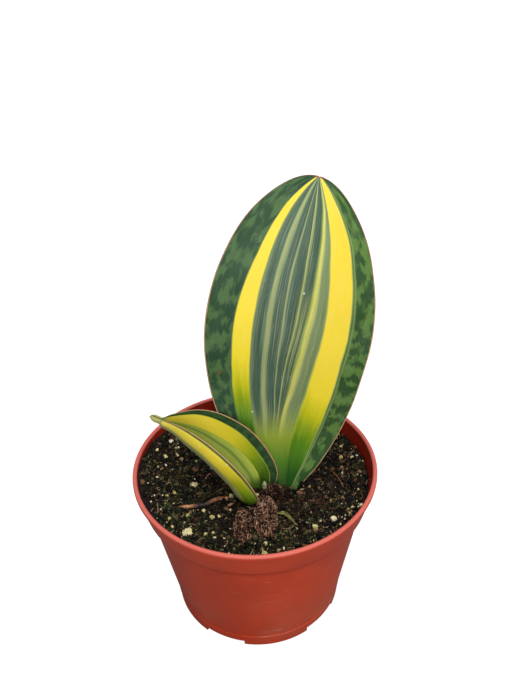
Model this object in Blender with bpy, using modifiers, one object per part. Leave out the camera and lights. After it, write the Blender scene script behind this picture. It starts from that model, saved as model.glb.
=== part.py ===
"""A young snake plant in a round plastic nursery pot.

The pot's axis is the Z axis and its foot stands on z = 0; -Y is the plant's front.
All sizes are in metres.
"""
import math

import bmesh
import bpy
import numpy as np
from mathutils import Matrix, Vector, noise
from mathutils.bvhtree import BVHTree

# ---------------------------------------------------------------- driving dimensions
GAP = 0.0003                     # clearance between pieces that touch
RAY_STEP = 1e-6  # how far past a crossing the search for the next one starts

# pot
RIM_RADIUS = 0.077               # outside of the lip
POT_HEIGHT = 0.1078
LIP_HEIGHT = 0.0028              # rounded bead on top of the collar
LIP_OVERHANG = 0.0008            # bead outside the collar
COLLAR_HEIGHT = 0.0192
COLLAR_TAPER = 0.0040            # collar radius lost from lip to step
COLLAR_STEP = 0.0025             # step from the collar in to the body
RIDGE_RADIUS = 0.0569            # parting line low on the body
RIDGE_HEIGHT = 0.0090
RIDGE_RELIEF = 0.0005
FOOT_RADIUS = 0.0559
FOOT_WIDTH = 0.0035
WALL = 0.0016
FLOOR_THICKNESS = 0.0018
FOOT_RECESS = 0.0030             # floor's underside above the foot
FOOT_COUNT = 5
NOTCH_WIDTH = 0.0270
NOTCH_HEIGHT = 0.0037
NOTCH_ANGLE = math.radians(-114.0)
DRAIN_RADIUS = 0.0040
DRAIN_INSET = 0.0130             # hole centre in from the foot's outside

# soil
SOIL_DROP = 0.0112               # soil surface below the rim, at the middle
SOIL_RELIEF = 0.0012             # height of its lumps
SOIL_BACK_RISE = 0.0045          # banked up against the wall behind on the left

# leaves: midrib from the soil upwards, foot on the soil plane
LEAF_THICKNESS = 0.0021
LEAF_MARGIN_THICKNESS = 0.0010
LARGE_FOOT = (0.0191, -0.0090)
LARGE_HEIGHT = 0.1839            # tip above the soil plane
LARGE_SIDEWAYS = 0.0206          # tip right of the foot
LARGE_LEAN = 0.0428              # tip behind the foot
LARGE_HALF_WIDTH = 0.0474
SMALL_FOOT = (-0.0062, -0.0125)
SMALL_HEIGHT = 0.0440
SMALL_REACH = 0.0574             # tip left of the foot
SMALL_LEAN = 0.0200
SMALL_HALF_WIDTH = 0.0327
LEAF_BURIED = 0.085              # share of the length that is under the soil
LEAF_TIP_WIDTH = 0.0007
LEAF_ROWS = 22
LEAF_COLUMNS = 9

# underground
RHIZOME_RADIUS = 0.0058
RHIZOME_DEPTH = 0.0175           # axis below the soil plane
ROOT_RADIUS = 0.0016

# litter on the soil
SURFACE_ROOT_RADIUS = 0.0011
SCRAP_THICKNESS = 0.0008

# ---------------------------------------------------------------- derived
SOIL_Z = POT_HEIGHT - SOIL_DROP
COLLAR_Z = POT_HEIGHT - COLLAR_HEIGHT
COLLAR_TOP_RADIUS = RIM_RADIUS - LIP_OVERHANG
COLLAR_FOOT_RADIUS = RIM_RADIUS - LIP_OVERHANG - COLLAR_TAPER
BODY_TOP_RADIUS = COLLAR_FOOT_RADIUS - COLLAR_STEP
FLOOR_TOP = FOOT_RECESS + FLOOR_THICKNESS


def collar_inside(z):
    """Inner radius of the collar at a height."""
    share = (z - COLLAR_Z) / COLLAR_HEIGHT
    outside = COLLAR_FOOT_RADIUS + (COLLAR_TOP_RADIUS - COLLAR_FOOT_RADIUS) * share
    return outside - WALL


def body_inside(z):
    """Inner radius of the body at a height."""
    share = (z - RIDGE_HEIGHT) / (COLLAR_Z - RIDGE_HEIGHT)
    return RIDGE_RADIUS + (BODY_TOP_RADIUS - RIDGE_RADIUS) * share - WALL


SOIL_RADIUS = collar_inside(SOIL_Z) - GAP

# ---------------------------------------------------------------- scene and materials


def clear_scene():
    """Remove every object, and set up the two collections."""
    for obj in list(bpy.data.objects):
        bpy.data.objects.remove(obj, do_unlink=True)
    parts = bpy.data.collections.new("potted_snake_plant")
    cutters = bpy.data.collections.new("cutters")
    bpy.context.scene.collection.children.link(parts)
    bpy.context.scene.collection.children.link(cutters)
    return parts, cutters


PARTS, CUTTERS = clear_scene()


def material(name, colour, roughness):
    """A plain Principled material."""
    mat = bpy.data.materials.new(name)
    mat.use_nodes = True
    shader = mat.node_tree.nodes["Principled BSDF"]
    shader.inputs["Base Color"].default_value = (*colour, 1.0)
    shader.inputs["Roughness"].default_value = roughness
    shader.inputs["Metallic"].default_value = 0.0
    return mat


TERRACOTTA = material("terracotta_plastic", (0.32, 0.047, 0.024), 0.42)
PEAT = material("peat_mix", (0.022, 0.014, 0.009), 0.95)
LEAF_GREEN = material("leaf_green", (0.09, 0.19, 0.05), 0.38)
FIBRE = material("peat_fibre", (0.13, 0.065, 0.035), 0.95)
ROOT_SKIN = material("root_skin", (0.30, 0.12, 0.045), 0.7)
DRY_SCRAP = material("dry_scrap", (0.22, 0.19, 0.08), 0.8)
BARK = material("bark", (0.24, 0.13, 0.08), 0.85)
PERLITE = material("perlite", (0.75, 0.72, 0.60), 0.9)


# ---------------------------------------------------------------- mesh helpers


def add_object(name, mesh, mat, smooth=True, collection=PARTS):
    """Put a mesh in the scene as a named piece."""
    obj = bpy.data.objects.new(name, mesh)
    collection.objects.link(obj)
    mesh.materials.clear()
    mesh.materials.append(mat)
    if smooth:
        mesh.shade_smooth()
        mesh.set_sharp_from_angle(angle=math.radians(50))
    return obj


def add_cutter(name, mesh):
    """Put a mesh in the scene as a cutter."""
    obj = bpy.data.objects.new(name, mesh)
    CUTTERS.objects.link(obj)
    obj.hide_render = True
    obj.display_type = "WIRE"
    return obj


def baked(obj):
    """The object's evaluated mesh as a new mesh, with its doubles merged."""
    bpy.context.view_layer.update()
    shaped = obj.evaluated_get(bpy.context.evaluated_depsgraph_get())
    mesh = bpy.data.meshes.new_from_object(shaped)
    mesh.transform(obj.matrix_world)
    bm = bmesh.new()
    bm.from_mesh(mesh)
    bmesh.ops.remove_doubles(bm, verts=bm.verts, dist=1e-6)
    bm.to_mesh(mesh)
    bm.free()
    return mesh


def cut(obj, cutter):
    """Take a cutter out of a piece."""
    change = obj.modifiers.new("cut_" + cutter.name, "BOOLEAN")
    change.operation = "DIFFERENCE"
    change.solver = "EXACT"
    change.object = cutter


def settle(obj):
    """Apply a piece's modifiers to its mesh."""
    mesh = baked(obj)
    mats = list(obj.data.materials)
    obj.modifiers.clear()
    obj.data = mesh
    obj.matrix_world = Matrix.Identity(4)
    mesh.materials.clear()
    for mat in mats:
        mesh.materials.append(mat)


def grown(obj, name, amount=GAP):
    """A cutter that is the piece with its skin moved out by a clearance."""
    mesh = baked(obj)
    bm = bmesh.new()
    bm.from_mesh(mesh)
    bm.normal_update()
    moves = [vert.normal.copy() for vert in bm.verts]
    for vert, move in zip(bm.verts, moves):
        sharpness = vert.calc_shell_factor()
        vert.co += move * amount * min(sharpness, 2.0)
    bm.to_mesh(mesh)
    bm.free()
    return add_cutter(name, mesh)


def turned(name, profile, steps):
    """A mesh turned about Z from a profile of (radius, height) that starts and ends on the axis."""
    mesh = bpy.data.meshes.new(name + "_profile")
    verts = [(radius, 0.0, height) for radius, height in profile]
    mesh.from_pydata(verts, [(i, i + 1) for i in range(len(verts) - 1)], [])
    guide = bpy.data.objects.new(name + "_profile", mesh)
    bpy.context.scene.collection.objects.link(guide)
    screw = guide.modifiers.new("turn", "SCREW")
    screw.steps = screw.render_steps = steps
    screw.use_merge_vertices = True
    screw.merge_threshold = 0.00001
    result = baked(guide)
    bpy.data.objects.remove(guide, do_unlink=True)
    return result


def tube(name, points, radii, sides=2):
    """A mesh of a round bar along a smooth route, with a radius at each point and filled caps."""
    curve = bpy.data.curves.new(name + "_route", "CURVE")
    curve.dimensions = "3D"
    curve.bevel_depth = 1.0
    curve.bevel_resolution = sides
    curve.use_fill_caps = True
    spline = curve.splines.new("POLY")
    spline.points.add(len(points) - 1)
    for point, place, radius in zip(spline.points, points, radii):
        point.co = (*place, 1.0)
        point.radius = radius
    guide = bpy.data.objects.new(name + "_route", curve)
    bpy.context.scene.collection.objects.link(guide)
    result = baked(guide)
    bpy.data.objects.remove(guide, do_unlink=True)
    return result


def smooth_route(points, count):
    """Points evenly spaced in parameter on a Catmull-Rom curve through the given ones."""
    ends = [2 * Vector(points[0]) - Vector(points[1])]
    ends += [Vector(point) for point in points]
    ends += [2 * Vector(points[-1]) - Vector(points[-2])]
    spans = len(points) - 1
    route = []
    for i in range(count):
        place = i / (count - 1) * spans
        k = min(int(place), spans - 1)
        t = place - k
        a, b, c, d = ends[k:k + 4]
        route.append(0.5 * (2 * b + (c - a) * t + (2 * a - 5 * b + 4 * c - d) * t * t
                            + (3 * b - a - 3 * c + d) * t ** 3))
    return route


def lump(name, centre, size, detail, roughness, seed, turn=0.0):
    """A mesh of a rough rounded lump: an icosphere stretched to size and pushed about by noise."""
    bm = bmesh.new()
    bmesh.ops.create_icosphere(bm, subdivisions=detail, radius=1.0)
    offset = Vector((seed * 3.17, seed * 1.31, seed * 2.23))
    for vert in bm.verts:
        swell = 1.0 + roughness * noise.noise(vert.co * 1.7 + offset)
        vert.co = Vector((vert.co.x * size[0], vert.co.y * size[1], vert.co.z * size[2])) * swell
    bmesh.ops.rotate(bm, verts=bm.verts, matrix=Matrix.Rotation(turn, 3, "Z"))
    bmesh.ops.translate(bm, verts=bm.verts, vec=Vector(centre))
    mesh = bpy.data.meshes.new(name)
    bm.to_mesh(mesh)
    bm.free()
    return mesh


# ---------------------------------------------------------------- soil surface


def soil_height(x, y):
    """Height of the soil surface: a level plane, a bank behind on the left and low lumps."""
    reach = math.hypot(x, y) / SOIL_RADIUS
    away = math.atan2(y, x) - math.radians(150)
    bank = SOIL_BACK_RISE * max(0.0, math.cos(away)) ** 2 * reach ** 3
    lumps = SOIL_RELIEF * noise.noise(Vector((x * 60, y * 60, 0.4)))
    return SOIL_Z + bank + lumps * min(1.0, 1.6 - reach)


def on_soil(share, degrees):
    """A place on the soil from a share of its radius and a compass angle about Z."""
    angle = math.radians(degrees)
    x = SOIL_RADIUS * share * math.cos(angle)
    y = SOIL_RADIUS * share * math.sin(angle)
    return x, y, soil_height(x, y)


def at(x, y, lift=0.0):
    """A point over the soil at a place, lifted off its surface."""
    return Vector((x, y, soil_height(x, y) + lift))


# ---------------------------------------------------------------- pot


def lip_arc(steps):
    """The rounded bead over the top of the collar, from the inside to the outside."""
    inner = collar_inside(POT_HEIGHT - LIP_HEIGHT)
    middle = (inner + RIM_RADIUS) / 2
    half = (RIM_RADIUS - inner) / 2
    drop = LIP_HEIGHT / 2
    arc = []
    for i in range(steps + 1):
        turn = math.pi * (1 - i / steps)
        arc.append((middle + half * math.cos(turn), POT_HEIGHT - drop + drop * math.sin(turn)))
    return arc


def pot_profile():
    """The pot's half section, from the middle of its floor inside to the middle underneath."""
    foot_inside = FOOT_RADIUS - FOOT_WIDTH
    recess_top = RIDGE_HEIGHT - RIDGE_RELIEF
    skirt_top = RIDGE_RADIUS - RIDGE_RELIEF
    inside = [
        (0.0, FLOOR_TOP),
        (body_inside(RIDGE_HEIGHT) - 0.004, FLOOR_TOP),
        (body_inside(RIDGE_HEIGHT) - 0.001, FLOOR_TOP + 0.001),
        (body_inside(RIDGE_HEIGHT), RIDGE_HEIGHT),
        (body_inside(COLLAR_Z - WALL), COLLAR_Z - WALL),
        (collar_inside(COLLAR_Z + WALL), COLLAR_Z + WALL),
        (collar_inside(POT_HEIGHT - LIP_HEIGHT), POT_HEIGHT - LIP_HEIGHT),
    ]
    outside = [
        (RIM_RADIUS - 0.0002, POT_HEIGHT - LIP_HEIGHT),
        (COLLAR_TOP_RADIUS, POT_HEIGHT - LIP_HEIGHT - 0.0006),
        (COLLAR_FOOT_RADIUS, COLLAR_Z + 0.0006),
        (COLLAR_FOOT_RADIUS - 0.0006, COLLAR_Z),
        (BODY_TOP_RADIUS, COLLAR_Z),
        (RIDGE_RADIUS - RIDGE_RELIEF, RIDGE_HEIGHT + RIDGE_RELIEF),
        (RIDGE_RADIUS, RIDGE_HEIGHT),
        (skirt_top, recess_top),
        (FOOT_RADIUS, 0.0),
        (foot_inside, 0.0),
        (foot_inside - 0.0008, FOOT_RECESS),
        (0.0, FOOT_RECESS),
    ]
    return inside + lip_arc(6)[1:] + outside


def build_pot():
    """The pot, with its foot notched and its floor drained over the notches."""
    pot = add_object("pot", turned("pot", pot_profile(), 48), TERRACOTTA)
    for i in range(FOOT_COUNT):
        angle = NOTCH_ANGLE + i * math.tau / FOOT_COUNT
        bm = bmesh.new()
        bmesh.ops.create_cube(bm, size=1.0)
        bmesh.ops.scale(bm, verts=bm.verts, vec=(3 * FOOT_WIDTH, NOTCH_WIDTH, 2 * NOTCH_HEIGHT))
        bmesh.ops.translate(bm, verts=bm.verts, vec=(FOOT_RADIUS - FOOT_WIDTH / 2, 0, 0))
        bmesh.ops.rotate(bm, verts=bm.verts, matrix=Matrix.Rotation(angle, 3, "Z"))
        mesh = bpy.data.meshes.new("notch")
        bm.to_mesh(mesh)
        bm.free()
        cut(pot, add_cutter(f"notch_{i + 1}", mesh))
        bm = bmesh.new()
        bmesh.ops.create_cone(bm, cap_ends=True, segments=16, radius1=DRAIN_RADIUS,
                              radius2=DRAIN_RADIUS, depth=4 * FLOOR_TOP)
        centre = Vector((FOOT_RADIUS - DRAIN_INSET, 0, FLOOR_TOP))
        bmesh.ops.translate(bm, verts=bm.verts, vec=centre)
        bmesh.ops.rotate(bm, verts=bm.verts, matrix=Matrix.Rotation(angle, 3, "Z"))
        mesh = bpy.data.meshes.new("drain")
        bm.to_mesh(mesh)
        bm.free()
        cut(pot, add_cutter(f"drain_{i + 1}", mesh))
    settle(pot)
    pot.data.set_sharp_from_angle(angle=math.radians(35))
    return pot


# ---------------------------------------------------------------- leaves


class Leaf:
    """A leaf blade: a midrib curve carrying a cross-section that curls as two arcs.

    ends and pulls place a cubic midrib; widths are shares of the half width at the knots;
    roll turns the blade about its midrib; near and far are the curls of its two halves.
    """

    def __init__(self, name, midrib, side, half_width, knots, widths, roll, slope, near, far):
        self.name = name
        self.midrib = [np.array(point) for point in midrib]
        self.side = np.array(side)
        self.half_width = half_width
        self.knots = np.array(knots)
        self.widths = np.array(widths)
        self.roll = roll
        self.slope = slope
        self.near = near
        self.far = far

    def spine(self, u):
        """Points and unit tangents of the midrib at parameters u."""
        a, b, c, d = self.midrib
        u = u[:, None]
        w = 1 - u
        points = w ** 3 * a + 3 * w * w * u * b + 3 * w * u * u * c + u ** 3 * d
        along = w * w * (b - a) + 2 * w * u * (c - b) + u * u * (d - c)
        return points, along / np.linalg.norm(along, axis=1, keepdims=True)

    def half_widths(self, u):
        """Half width at u, from a smooth curve through the knots."""
        rates = np.gradient(self.widths, self.knots)
        k = np.clip(np.searchsorted(self.knots, u) - 1, 0, len(self.knots) - 2)
        span = self.knots[k + 1] - self.knots[k]
        t = np.clip((u - self.knots[k]) / span, 0, 1)
        share = ((2 * t ** 3 - 3 * t ** 2 + 1) * self.widths[k]
                 + (t ** 3 - 2 * t ** 2 + t) * span * rates[k]
                 + (3 * t ** 2 - 2 * t ** 3) * self.widths[k + 1]
                 + (t ** 3 - t ** 2) * span * rates[k + 1])
        return np.maximum(share * self.half_width, LEAF_TIP_WIDTH)

    def surface(self, u, v, wider=0.0):
        """Grid of points over u along the leaf and v from -1 to 1 across it."""
        points, along = self.spine(u)
        flat = self.side - (along @ self.side)[:, None] * along
        flat /= np.linalg.norm(flat, axis=1, keepdims=True)
        face = np.cross(flat, along)
        roll = np.polyval(self.roll[::-1], u)[:, None]
        across = np.cos(roll) * flat + np.sin(roll) * face
        up = np.cos(roll) * face - np.sin(roll) * flat
        start = np.polyval(self.slope[::-1], u)[:, None]
        reach = np.abs(v)[None, :]
        left = np.asarray(v)[None, :] < 0
        curl = np.where(left, np.maximum(np.polyval(self.near[:2][::-1], u), 0.02)[:, None],
                        np.maximum(np.polyval(self.far[:2][::-1], u), 0.02)[:, None])
        size = (self.half_widths(u) + wider)[:, None]
        size = size * np.where(left, np.polyval(self.near[2:][::-1], u)[:, None], 1.0)
        out = (np.sin(start + curl * reach) - np.sin(start)) / curl * np.sign(v)[None, :]
        rise = (np.cos(start) - np.cos(start + curl * reach)) / curl
        return (points[:, None, :] + (size * out)[..., None] * across[:, None, :]
                + (size * rise)[..., None] * up[:, None, :])

    def mesh(self, rows, columns, clearance=0.0):
        """The blade as a closed shell that thins to its margins, grown by a clearance."""
        u = np.linspace(-LEAF_BURIED, 1.0, rows)
        u[0] -= clearance / (2 * self.half_width)
        u[-1] += clearance / (2 * self.half_width)
        v = np.sin(np.linspace(-1, 1, columns) * math.pi / 2)
        front = self.surface(u, v, wider=clearance)
        lengthwise = np.gradient(front, axis=0)
        crosswise = np.gradient(front, axis=1)
        normal = np.cross(lengthwise, crosswise)
        normal /= np.linalg.norm(normal, axis=-1, keepdims=True)
        thick = LEAF_MARGIN_THICKNESS + (LEAF_THICKNESS - LEAF_MARGIN_THICKNESS) * (1 - v ** 4)
        back = front + normal * (thick[None, :, None] + clearance)
        front = front - normal * clearance
        bm = bmesh.new()
        sheets = [[[bm.verts.new(point) for point in row] for row in sheet] for sheet in (front, back)]
        for side, sheet in enumerate(sheets):
            for i in range(rows - 1):
                for j in range(columns - 1):
                    ring = [sheet[i][j], sheet[i][j + 1], sheet[i + 1][j + 1], sheet[i + 1][j]]
                    bm.faces.new(ring if side else ring[::-1])
        border = [(0, j) for j in range(columns)]
        border += [(i, columns - 1) for i in range(1, rows)]
        border += [(rows - 1, j) for j in range(columns - 2, -1, -1)]
        border += [(i, 0) for i in range(rows - 2, 0, -1)]
        for (i, j), (k, m) in zip(border, border[1:] + border[:1]):
            bm.faces.new([sheets[0][i][j], sheets[0][k][m], sheets[1][k][m], sheets[1][i][j]])
        bmesh.ops.recalc_face_normals(bm, faces=bm.faces)
        mesh = bpy.data.meshes.new(self.name)
        bm.to_mesh(mesh)
        bm.free()
        return mesh


def leaf_midrib(foot, depth, tip_offset, pulls):
    """Midrib control points: a start under the soil plane, two pulls and the tip.

    The pulls are shares of the tip's offset from the foot, axis by axis.
    """
    base = np.array((*foot, SOIL_Z))
    tip = np.array(tip_offset)
    first, second = (base + np.array(pull) * tip for pull in pulls)
    return [base - np.array((0, 0, depth)), first, second, base + tip]


LEAF_LARGE = Leaf(
    "leaf_large",
    leaf_midrib(LARGE_FOOT, 0.0036, (LARGE_SIDEWAYS, LARGE_LEAN, LARGE_HEIGHT),
                [(-0.015, 0.610, 0.307), (-0.311, -0.264, 0.597)]),
    side=(1, 0, 0), half_width=LARGE_HALF_WIDTH,
    knots=[-0.10, 0.0, 0.08, 0.20, 0.35, 0.50, 0.65, 0.80, 0.92, 0.975, 1.0],
    widths=[0.10, 0.171, 0.412, 0.660, 0.854, 0.959, 1.0, 0.889, 0.604, 0.327, 0.0],
    roll=[0.053, -0.042, -0.074], slope=[0.079], near=[0.299, 0.005, 1.0, 0.0], far=[0.299, 0.005])

LEAF_SMALL = Leaf(
    "leaf_small",
    leaf_midrib(SMALL_FOOT, 0.0066, (-SMALL_REACH, SMALL_LEAN, SMALL_HEIGHT),
                [(0.087, 0.161, 0.236), (0.415, 0.360, 0.841)]),
    side=(0, 1, 0), half_width=SMALL_HALF_WIDTH,
    knots=[-0.10, 0.0, 0.15, 0.35, 0.55, 0.75, 0.88, 0.935, 1.0],
    widths=[0.28, 0.480, 0.802, 0.961, 0.999, 0.737, 0.264, 0.05, 0.0],
    roll=[0.934, 0.193, -0.382], slope=[0.705, 0.216],
    near=[1.657, -0.267, 1.049, 0.036], far=[0.148, -0.349])


# ---------------------------------------------------------------- soil and what is in it


def build_soil():
    """The peat mix: it fills the pot to the drop under the rim and follows its inside."""
    rings = [i / 6 for i in range(7)]
    top = [(SOIL_RADIUS * share, SOIL_Z) for share in rings]
    base = FLOOR_TOP + GAP
    low = body_inside(RIDGE_HEIGHT) - GAP
    sides = [
        (collar_inside(COLLAR_Z + WALL) - GAP, COLLAR_Z + WALL),
        (body_inside(COLLAR_Z - WALL) - GAP, COLLAR_Z - WALL),
        (low, RIDGE_HEIGHT),
        (low - 0.0012, base + 0.0014),
        (low - 0.0045, base),
        (0.0, base),
    ]
    mesh = turned("soil", top + sides, 40)
    for vert in mesh.vertices:
        if vert.co.z > SOIL_Z - GAP / 2:
            vert.co.z = soil_height(vert.co.x, vert.co.y)
    return add_object("soil", mesh, PEAT)


def build_rhizome():
    """The underground stem that both leaves rise from."""
    z = SOIL_Z - RHIZOME_DEPTH
    small, large = SMALL_FOOT, LARGE_FOOT
    route = smooth_route([
        (small[0] - 0.007, small[1] - 0.004, z + 0.001),
        (small[0], small[1] - 0.001, z),
        ((small[0] + large[0]) / 2, (small[1] + large[1]) / 2 - 0.003, z - 0.002),
        (large[0] - 0.001, large[1] - 0.006, z),
        (large[0] + 0.008, large[1] - 0.004, z + 0.001),
    ], 11)
    radii = [RHIZOME_RADIUS * (0.55 + 0.45 * math.sin(math.pi * i / 10) ** 0.5) for i in range(11)]
    return add_object("rhizome", tube("rhizome", route, radii), ROOT_SKIN), route


ROOT_HEADINGS = (200, 285, 95, 350)     # compass angle about Z that each root leaves at


def build_roots(route):
    """Roots that leave the rhizome and wander down to the lower soil, each with its room."""
    roots = []
    for i in range(len(ROOT_HEADINGS)):
        start = route[2 + 2 * i]
        turn = math.radians(ROOT_HEADINGS[i])
        out = Vector((math.cos(turn), math.sin(turn), 0.0))
        side = Vector((-out.y, out.x, 0.0))
        fall = (SOIL_Z - RHIZOME_DEPTH - FLOOR_TOP) * 0.75
        points = smooth_route([
            start,
            start + out * 0.010 + Vector((0, 0, -0.1 * fall)),
            start + out * 0.024 + side * 0.004 + Vector((0, 0, -0.38 * fall)),
            start + out * 0.029 - side * 0.003 + Vector((0, 0, -0.72 * fall)),
            start + out * 0.026 + side * 0.003 + Vector((0, 0, -fall)),
        ], 12)
        radii = [ROOT_RADIUS * (1 - 0.45 * j / 11) for j in range(12)]
        name = f"root_{i + 1}"
        root = add_object(name, tube(name, points, radii, sides=1), ROOT_SKIN)
        past_end = points[-1] + (points[-1] - points[-2]).normalized() * GAP
        wider = [radius + GAP for radius in radii]
        room = tube(name + "_room", points[:-1] + [past_end], wider, sides=1)
        roots.append((root, add_cutter(name + "_room", room)))
    return roots


# ---------------------------------------------------------------- litter on the soil


def near_foot(dx, dy, lift=0.0):
    """A point over the soil at an offset from the small leaf's foot."""
    return at(SMALL_FOOT[0] + dx, SMALL_FOOT[1] + dy, lift)


def build_clumps():
    """Fibrous lumps of peat on the surface."""
    small_foot_clumps = (
        ("peat_clump_front", (0.0122, -0.0262, 0.0016), (0.0068, 0.0165, 0.0058), 3, 0.02),
        ("peat_clump_left", (-0.0010, -0.0322, 0.0012), (0.0048, 0.0140, 0.0048), 3, 0.20),
        ("peat_clump_rear", (0.0170, -0.0067, 0.0025), (0.0062, 0.0040, 0.0066), 3, 0.0),
        ("peat_mound_right", (0.0400, -0.0175, 0.0005), (0.0125, 0.0090, 0.0042), 2, 0.1),
    )
    clumps = {}
    for seed, (name, (dx, dy, lift), size, detail, turn) in enumerate(small_foot_clumps, 1):
        mesh = lump(name, near_foot(dx, dy, lift), size, detail, 0.28, seed, turn)
        clumps[name] = add_object(name, mesh, FIBRE)
    x, y, z = on_soil(0.88, 147)
    mesh = lump("peat_clump_back_left", (x, y, z + 0.001), (0.0075, 0.0050, 0.0036), 2, 0.28, 5)
    clumps["peat_clump_back_left"] = add_object("peat_clump_back_left", mesh, FIBRE)
    return clumps


def tree_of(mesh):
    """A search tree over a mesh's faces."""
    return BVHTree.FromPolygons([vert.co for vert in mesh.vertices],
                                [tuple(face.vertices) for face in mesh.polygons])


def holds(tree, spot):
    """Whether a closed mesh, given by its search tree, holds a spot inside it."""
    crossings, upward = 0, Vector((0.0, 0.0, 1.0))
    hit = tree.ray_cast(spot, upward)[0]
    while hit is not None:
        crossings += 1
        hit = tree.ray_cast(hit + upward * RAY_STEP, upward)[0]
    return crossings % 2 == 1


def touches(mesh, placed):
    """Whether a small piece crosses, or lies inside, any of the pieces already placed."""
    tree = tree_of(mesh)
    middle = sum((vert.co for vert in mesh.vertices), Vector()) / len(mesh.vertices)
    return any(tree.overlap(other) or holds(other, middle) for other in placed)


def strewn(make, degrees, placed):
    """The first mesh that touches nothing, going round the pot from its own compass angle.

    make gives the mesh for a turn about the pot's axis, in degrees.
    """
    for turn in range(0, 360, 3):
        mesh = make(degrees + turn)
        if not touches(mesh, placed):
            break
    placed.append(tree_of(mesh))
    return mesh


PERLITE_GRAINS = (
    # share of the soil's radius, compass angle, half size
    (0.560, 196, 0.0025), (0.890, 232, 0.0028), (0.905, 219, 0.0019), (0.340, 233, 0.0018),
    (0.828, 306, 0.0021), (0.860, 318, 0.0020), (0.890, 23, 0.0019), (0.930, 332, 0.0015),
    (0.760, 222, 0.0015), (0.740, 201, 0.0014), (0.640, 236, 0.0016), (0.900, 274, 0.0018),
    (0.540, 60, 0.0016), (0.780, 95, 0.0019), (0.800, 12, 0.0015), (0.830, 168, 0.0016),
)


def build_perlite(placed):
    """The larger pale grains of expanded glass, half sunk in the surface."""
    grains = []
    for i, (share, degrees, size) in enumerate(PERLITE_GRAINS):
        inside = min(share, 1.0 - (size * 1.3 + GAP) / SOIL_RADIUS)
        shape = (size, size * 0.82, size * 0.78)
        name = f"perlite_{i + 1:02d}"

        def grain(angle):
            mesh = lump(name, (0, 0, 0), shape, 2, 0.35, 10 + i)
            x, y, z = on_soil(inside, angle)
            mesh.transform(Matrix.Translation((x, y, z + 0.2 * size)) @ Matrix.Rotation(i * 2.4, 4, "Z"))
            return mesh

        grains.append(add_object(name, strewn(grain, degrees, placed), PERLITE))
    return grains


def build_scraps(placed):
    """A root lying on the soil, dry scraps of leaf and chips of bark."""
    lying = [near_foot(dx, dy, SURFACE_ROOT_RADIUS * 0.7) for dx, dy in (
        (-0.0410, -0.0180), (-0.0330, -0.0168), (-0.0250, -0.0150), (-0.0195, -0.0117),
        (-0.0140, -0.0098), (-0.0095, -0.0105), (-0.0060, -0.0128))]
    radii = [SURFACE_ROOT_RADIUS * (1 - 0.35 * i / 13) for i in range(14)]
    pieces = [add_object("surface_root", tube("surface_root", smooth_route(lying, 14), radii, 1),
                         ROOT_SKIN)]
    placed.append(tree_of(pieces[0].data))
    flats = (
        # name, place for a turn round the pot, half length, half width, heading, seed, material
        ("straw_scrap_right", lambda turn: near_foot(0.0255, -0.0285), 0.0070, 0.0019, 320, 51, DRY_SCRAP),
        ("bark_chip_2", lambda turn: near_foot(0.0345, -0.0040), 0.0030, 0.0018, 20, 53, BARK),
        ("leaf_scrap_left", lambda turn: on_soil(0.845, 211.5 + turn), 0.0105, 0.0021, 298, 50, DRY_SCRAP),
        ("bark_chip_1", lambda turn: on_soil(0.545, 171 + turn), 0.0042, 0.0017, 55, 52, BARK),
        ("bark_chip_3", lambda turn: on_soil(0.905, 288 + turn), 0.0035, 0.0016, 15, 54, BARK),
    )
    for name, place, half_length, half_width, heading, seed, mat in flats:
        def flake(turn):
            mesh = lump(name, (0, 0, 0), (half_length, half_width, SCRAP_THICKNESS), 2, 0.2, seed)
            around = Matrix.Rotation(math.radians(heading + turn), 4, "Z")
            lift = Vector((0, 0, SCRAP_THICKNESS * 0.4))
            mesh.transform(Matrix.Translation(Vector(place(turn)) + lift) @ around)
            return mesh

        pieces.append(add_object(name, strewn(flake, 0, placed), mat))
    return pieces


# ---------------------------------------------------------------- build


def build_all():
    """Make every piece, then cut the softer of each pair clear of the firmer."""
    build_pot()
    rhizome, route = build_rhizome()
    rhizome_room = grown(rhizome, "rhizome_room")
    rooms = [rhizome_room]
    leaf_rooms = []
    for leaf in (LEAF_LARGE, LEAF_SMALL):
        blade = add_object(leaf.name, leaf.mesh(LEAF_ROWS, LEAF_COLUMNS), LEAF_GREEN)
        cut(blade, rhizome_room)
        settle(blade)
        leaf_rooms.append(add_cutter(leaf.name + "_room", leaf.mesh(LEAF_ROWS, LEAF_COLUMNS, clearance=GAP)))
    rooms += leaf_rooms
    for root, room in build_roots(route):
        cut(root, rhizome_room)
        settle(root)
        rooms.append(room)
    clumps = build_clumps()
    for room in leaf_rooms:
        cut(clumps["peat_clump_front"], room)
        cut(clumps["peat_clump_rear"], room)
    settle(clumps["peat_clump_front"])
    cut(clumps["peat_clump_rear"], grown(clumps["peat_clump_front"], "front_clump_room"))
    settle(clumps["peat_clump_rear"])
    placed = [tree_of(clump.data) for clump in clumps.values()]
    scraps = build_scraps(placed)
    for piece in list(clumps.values()) + scraps + build_perlite(placed):
        rooms.append(grown(piece, piece.name + "_room"))
    soil = build_soil()
    for room in rooms:
        cut(soil, room)
    settle(soil)


build_all()
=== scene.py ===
"""The looks of a young variegated snake plant in a terracotta-coloured nursery pot.

Every piece is worked out as numpy grids around the fixed CAD frame, and dressed in
procedural materials. Lengths are in metres unless a name says otherwise; the pot's axis
is Z, its foot stands on z = 0 and the front of the plant faces -Y.
"""
from __future__ import annotations

import logging
import math
from dataclasses import dataclass, field
from enum import Enum

import bpy
import numpy as np
from mathutils import Matrix, Vector

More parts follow.
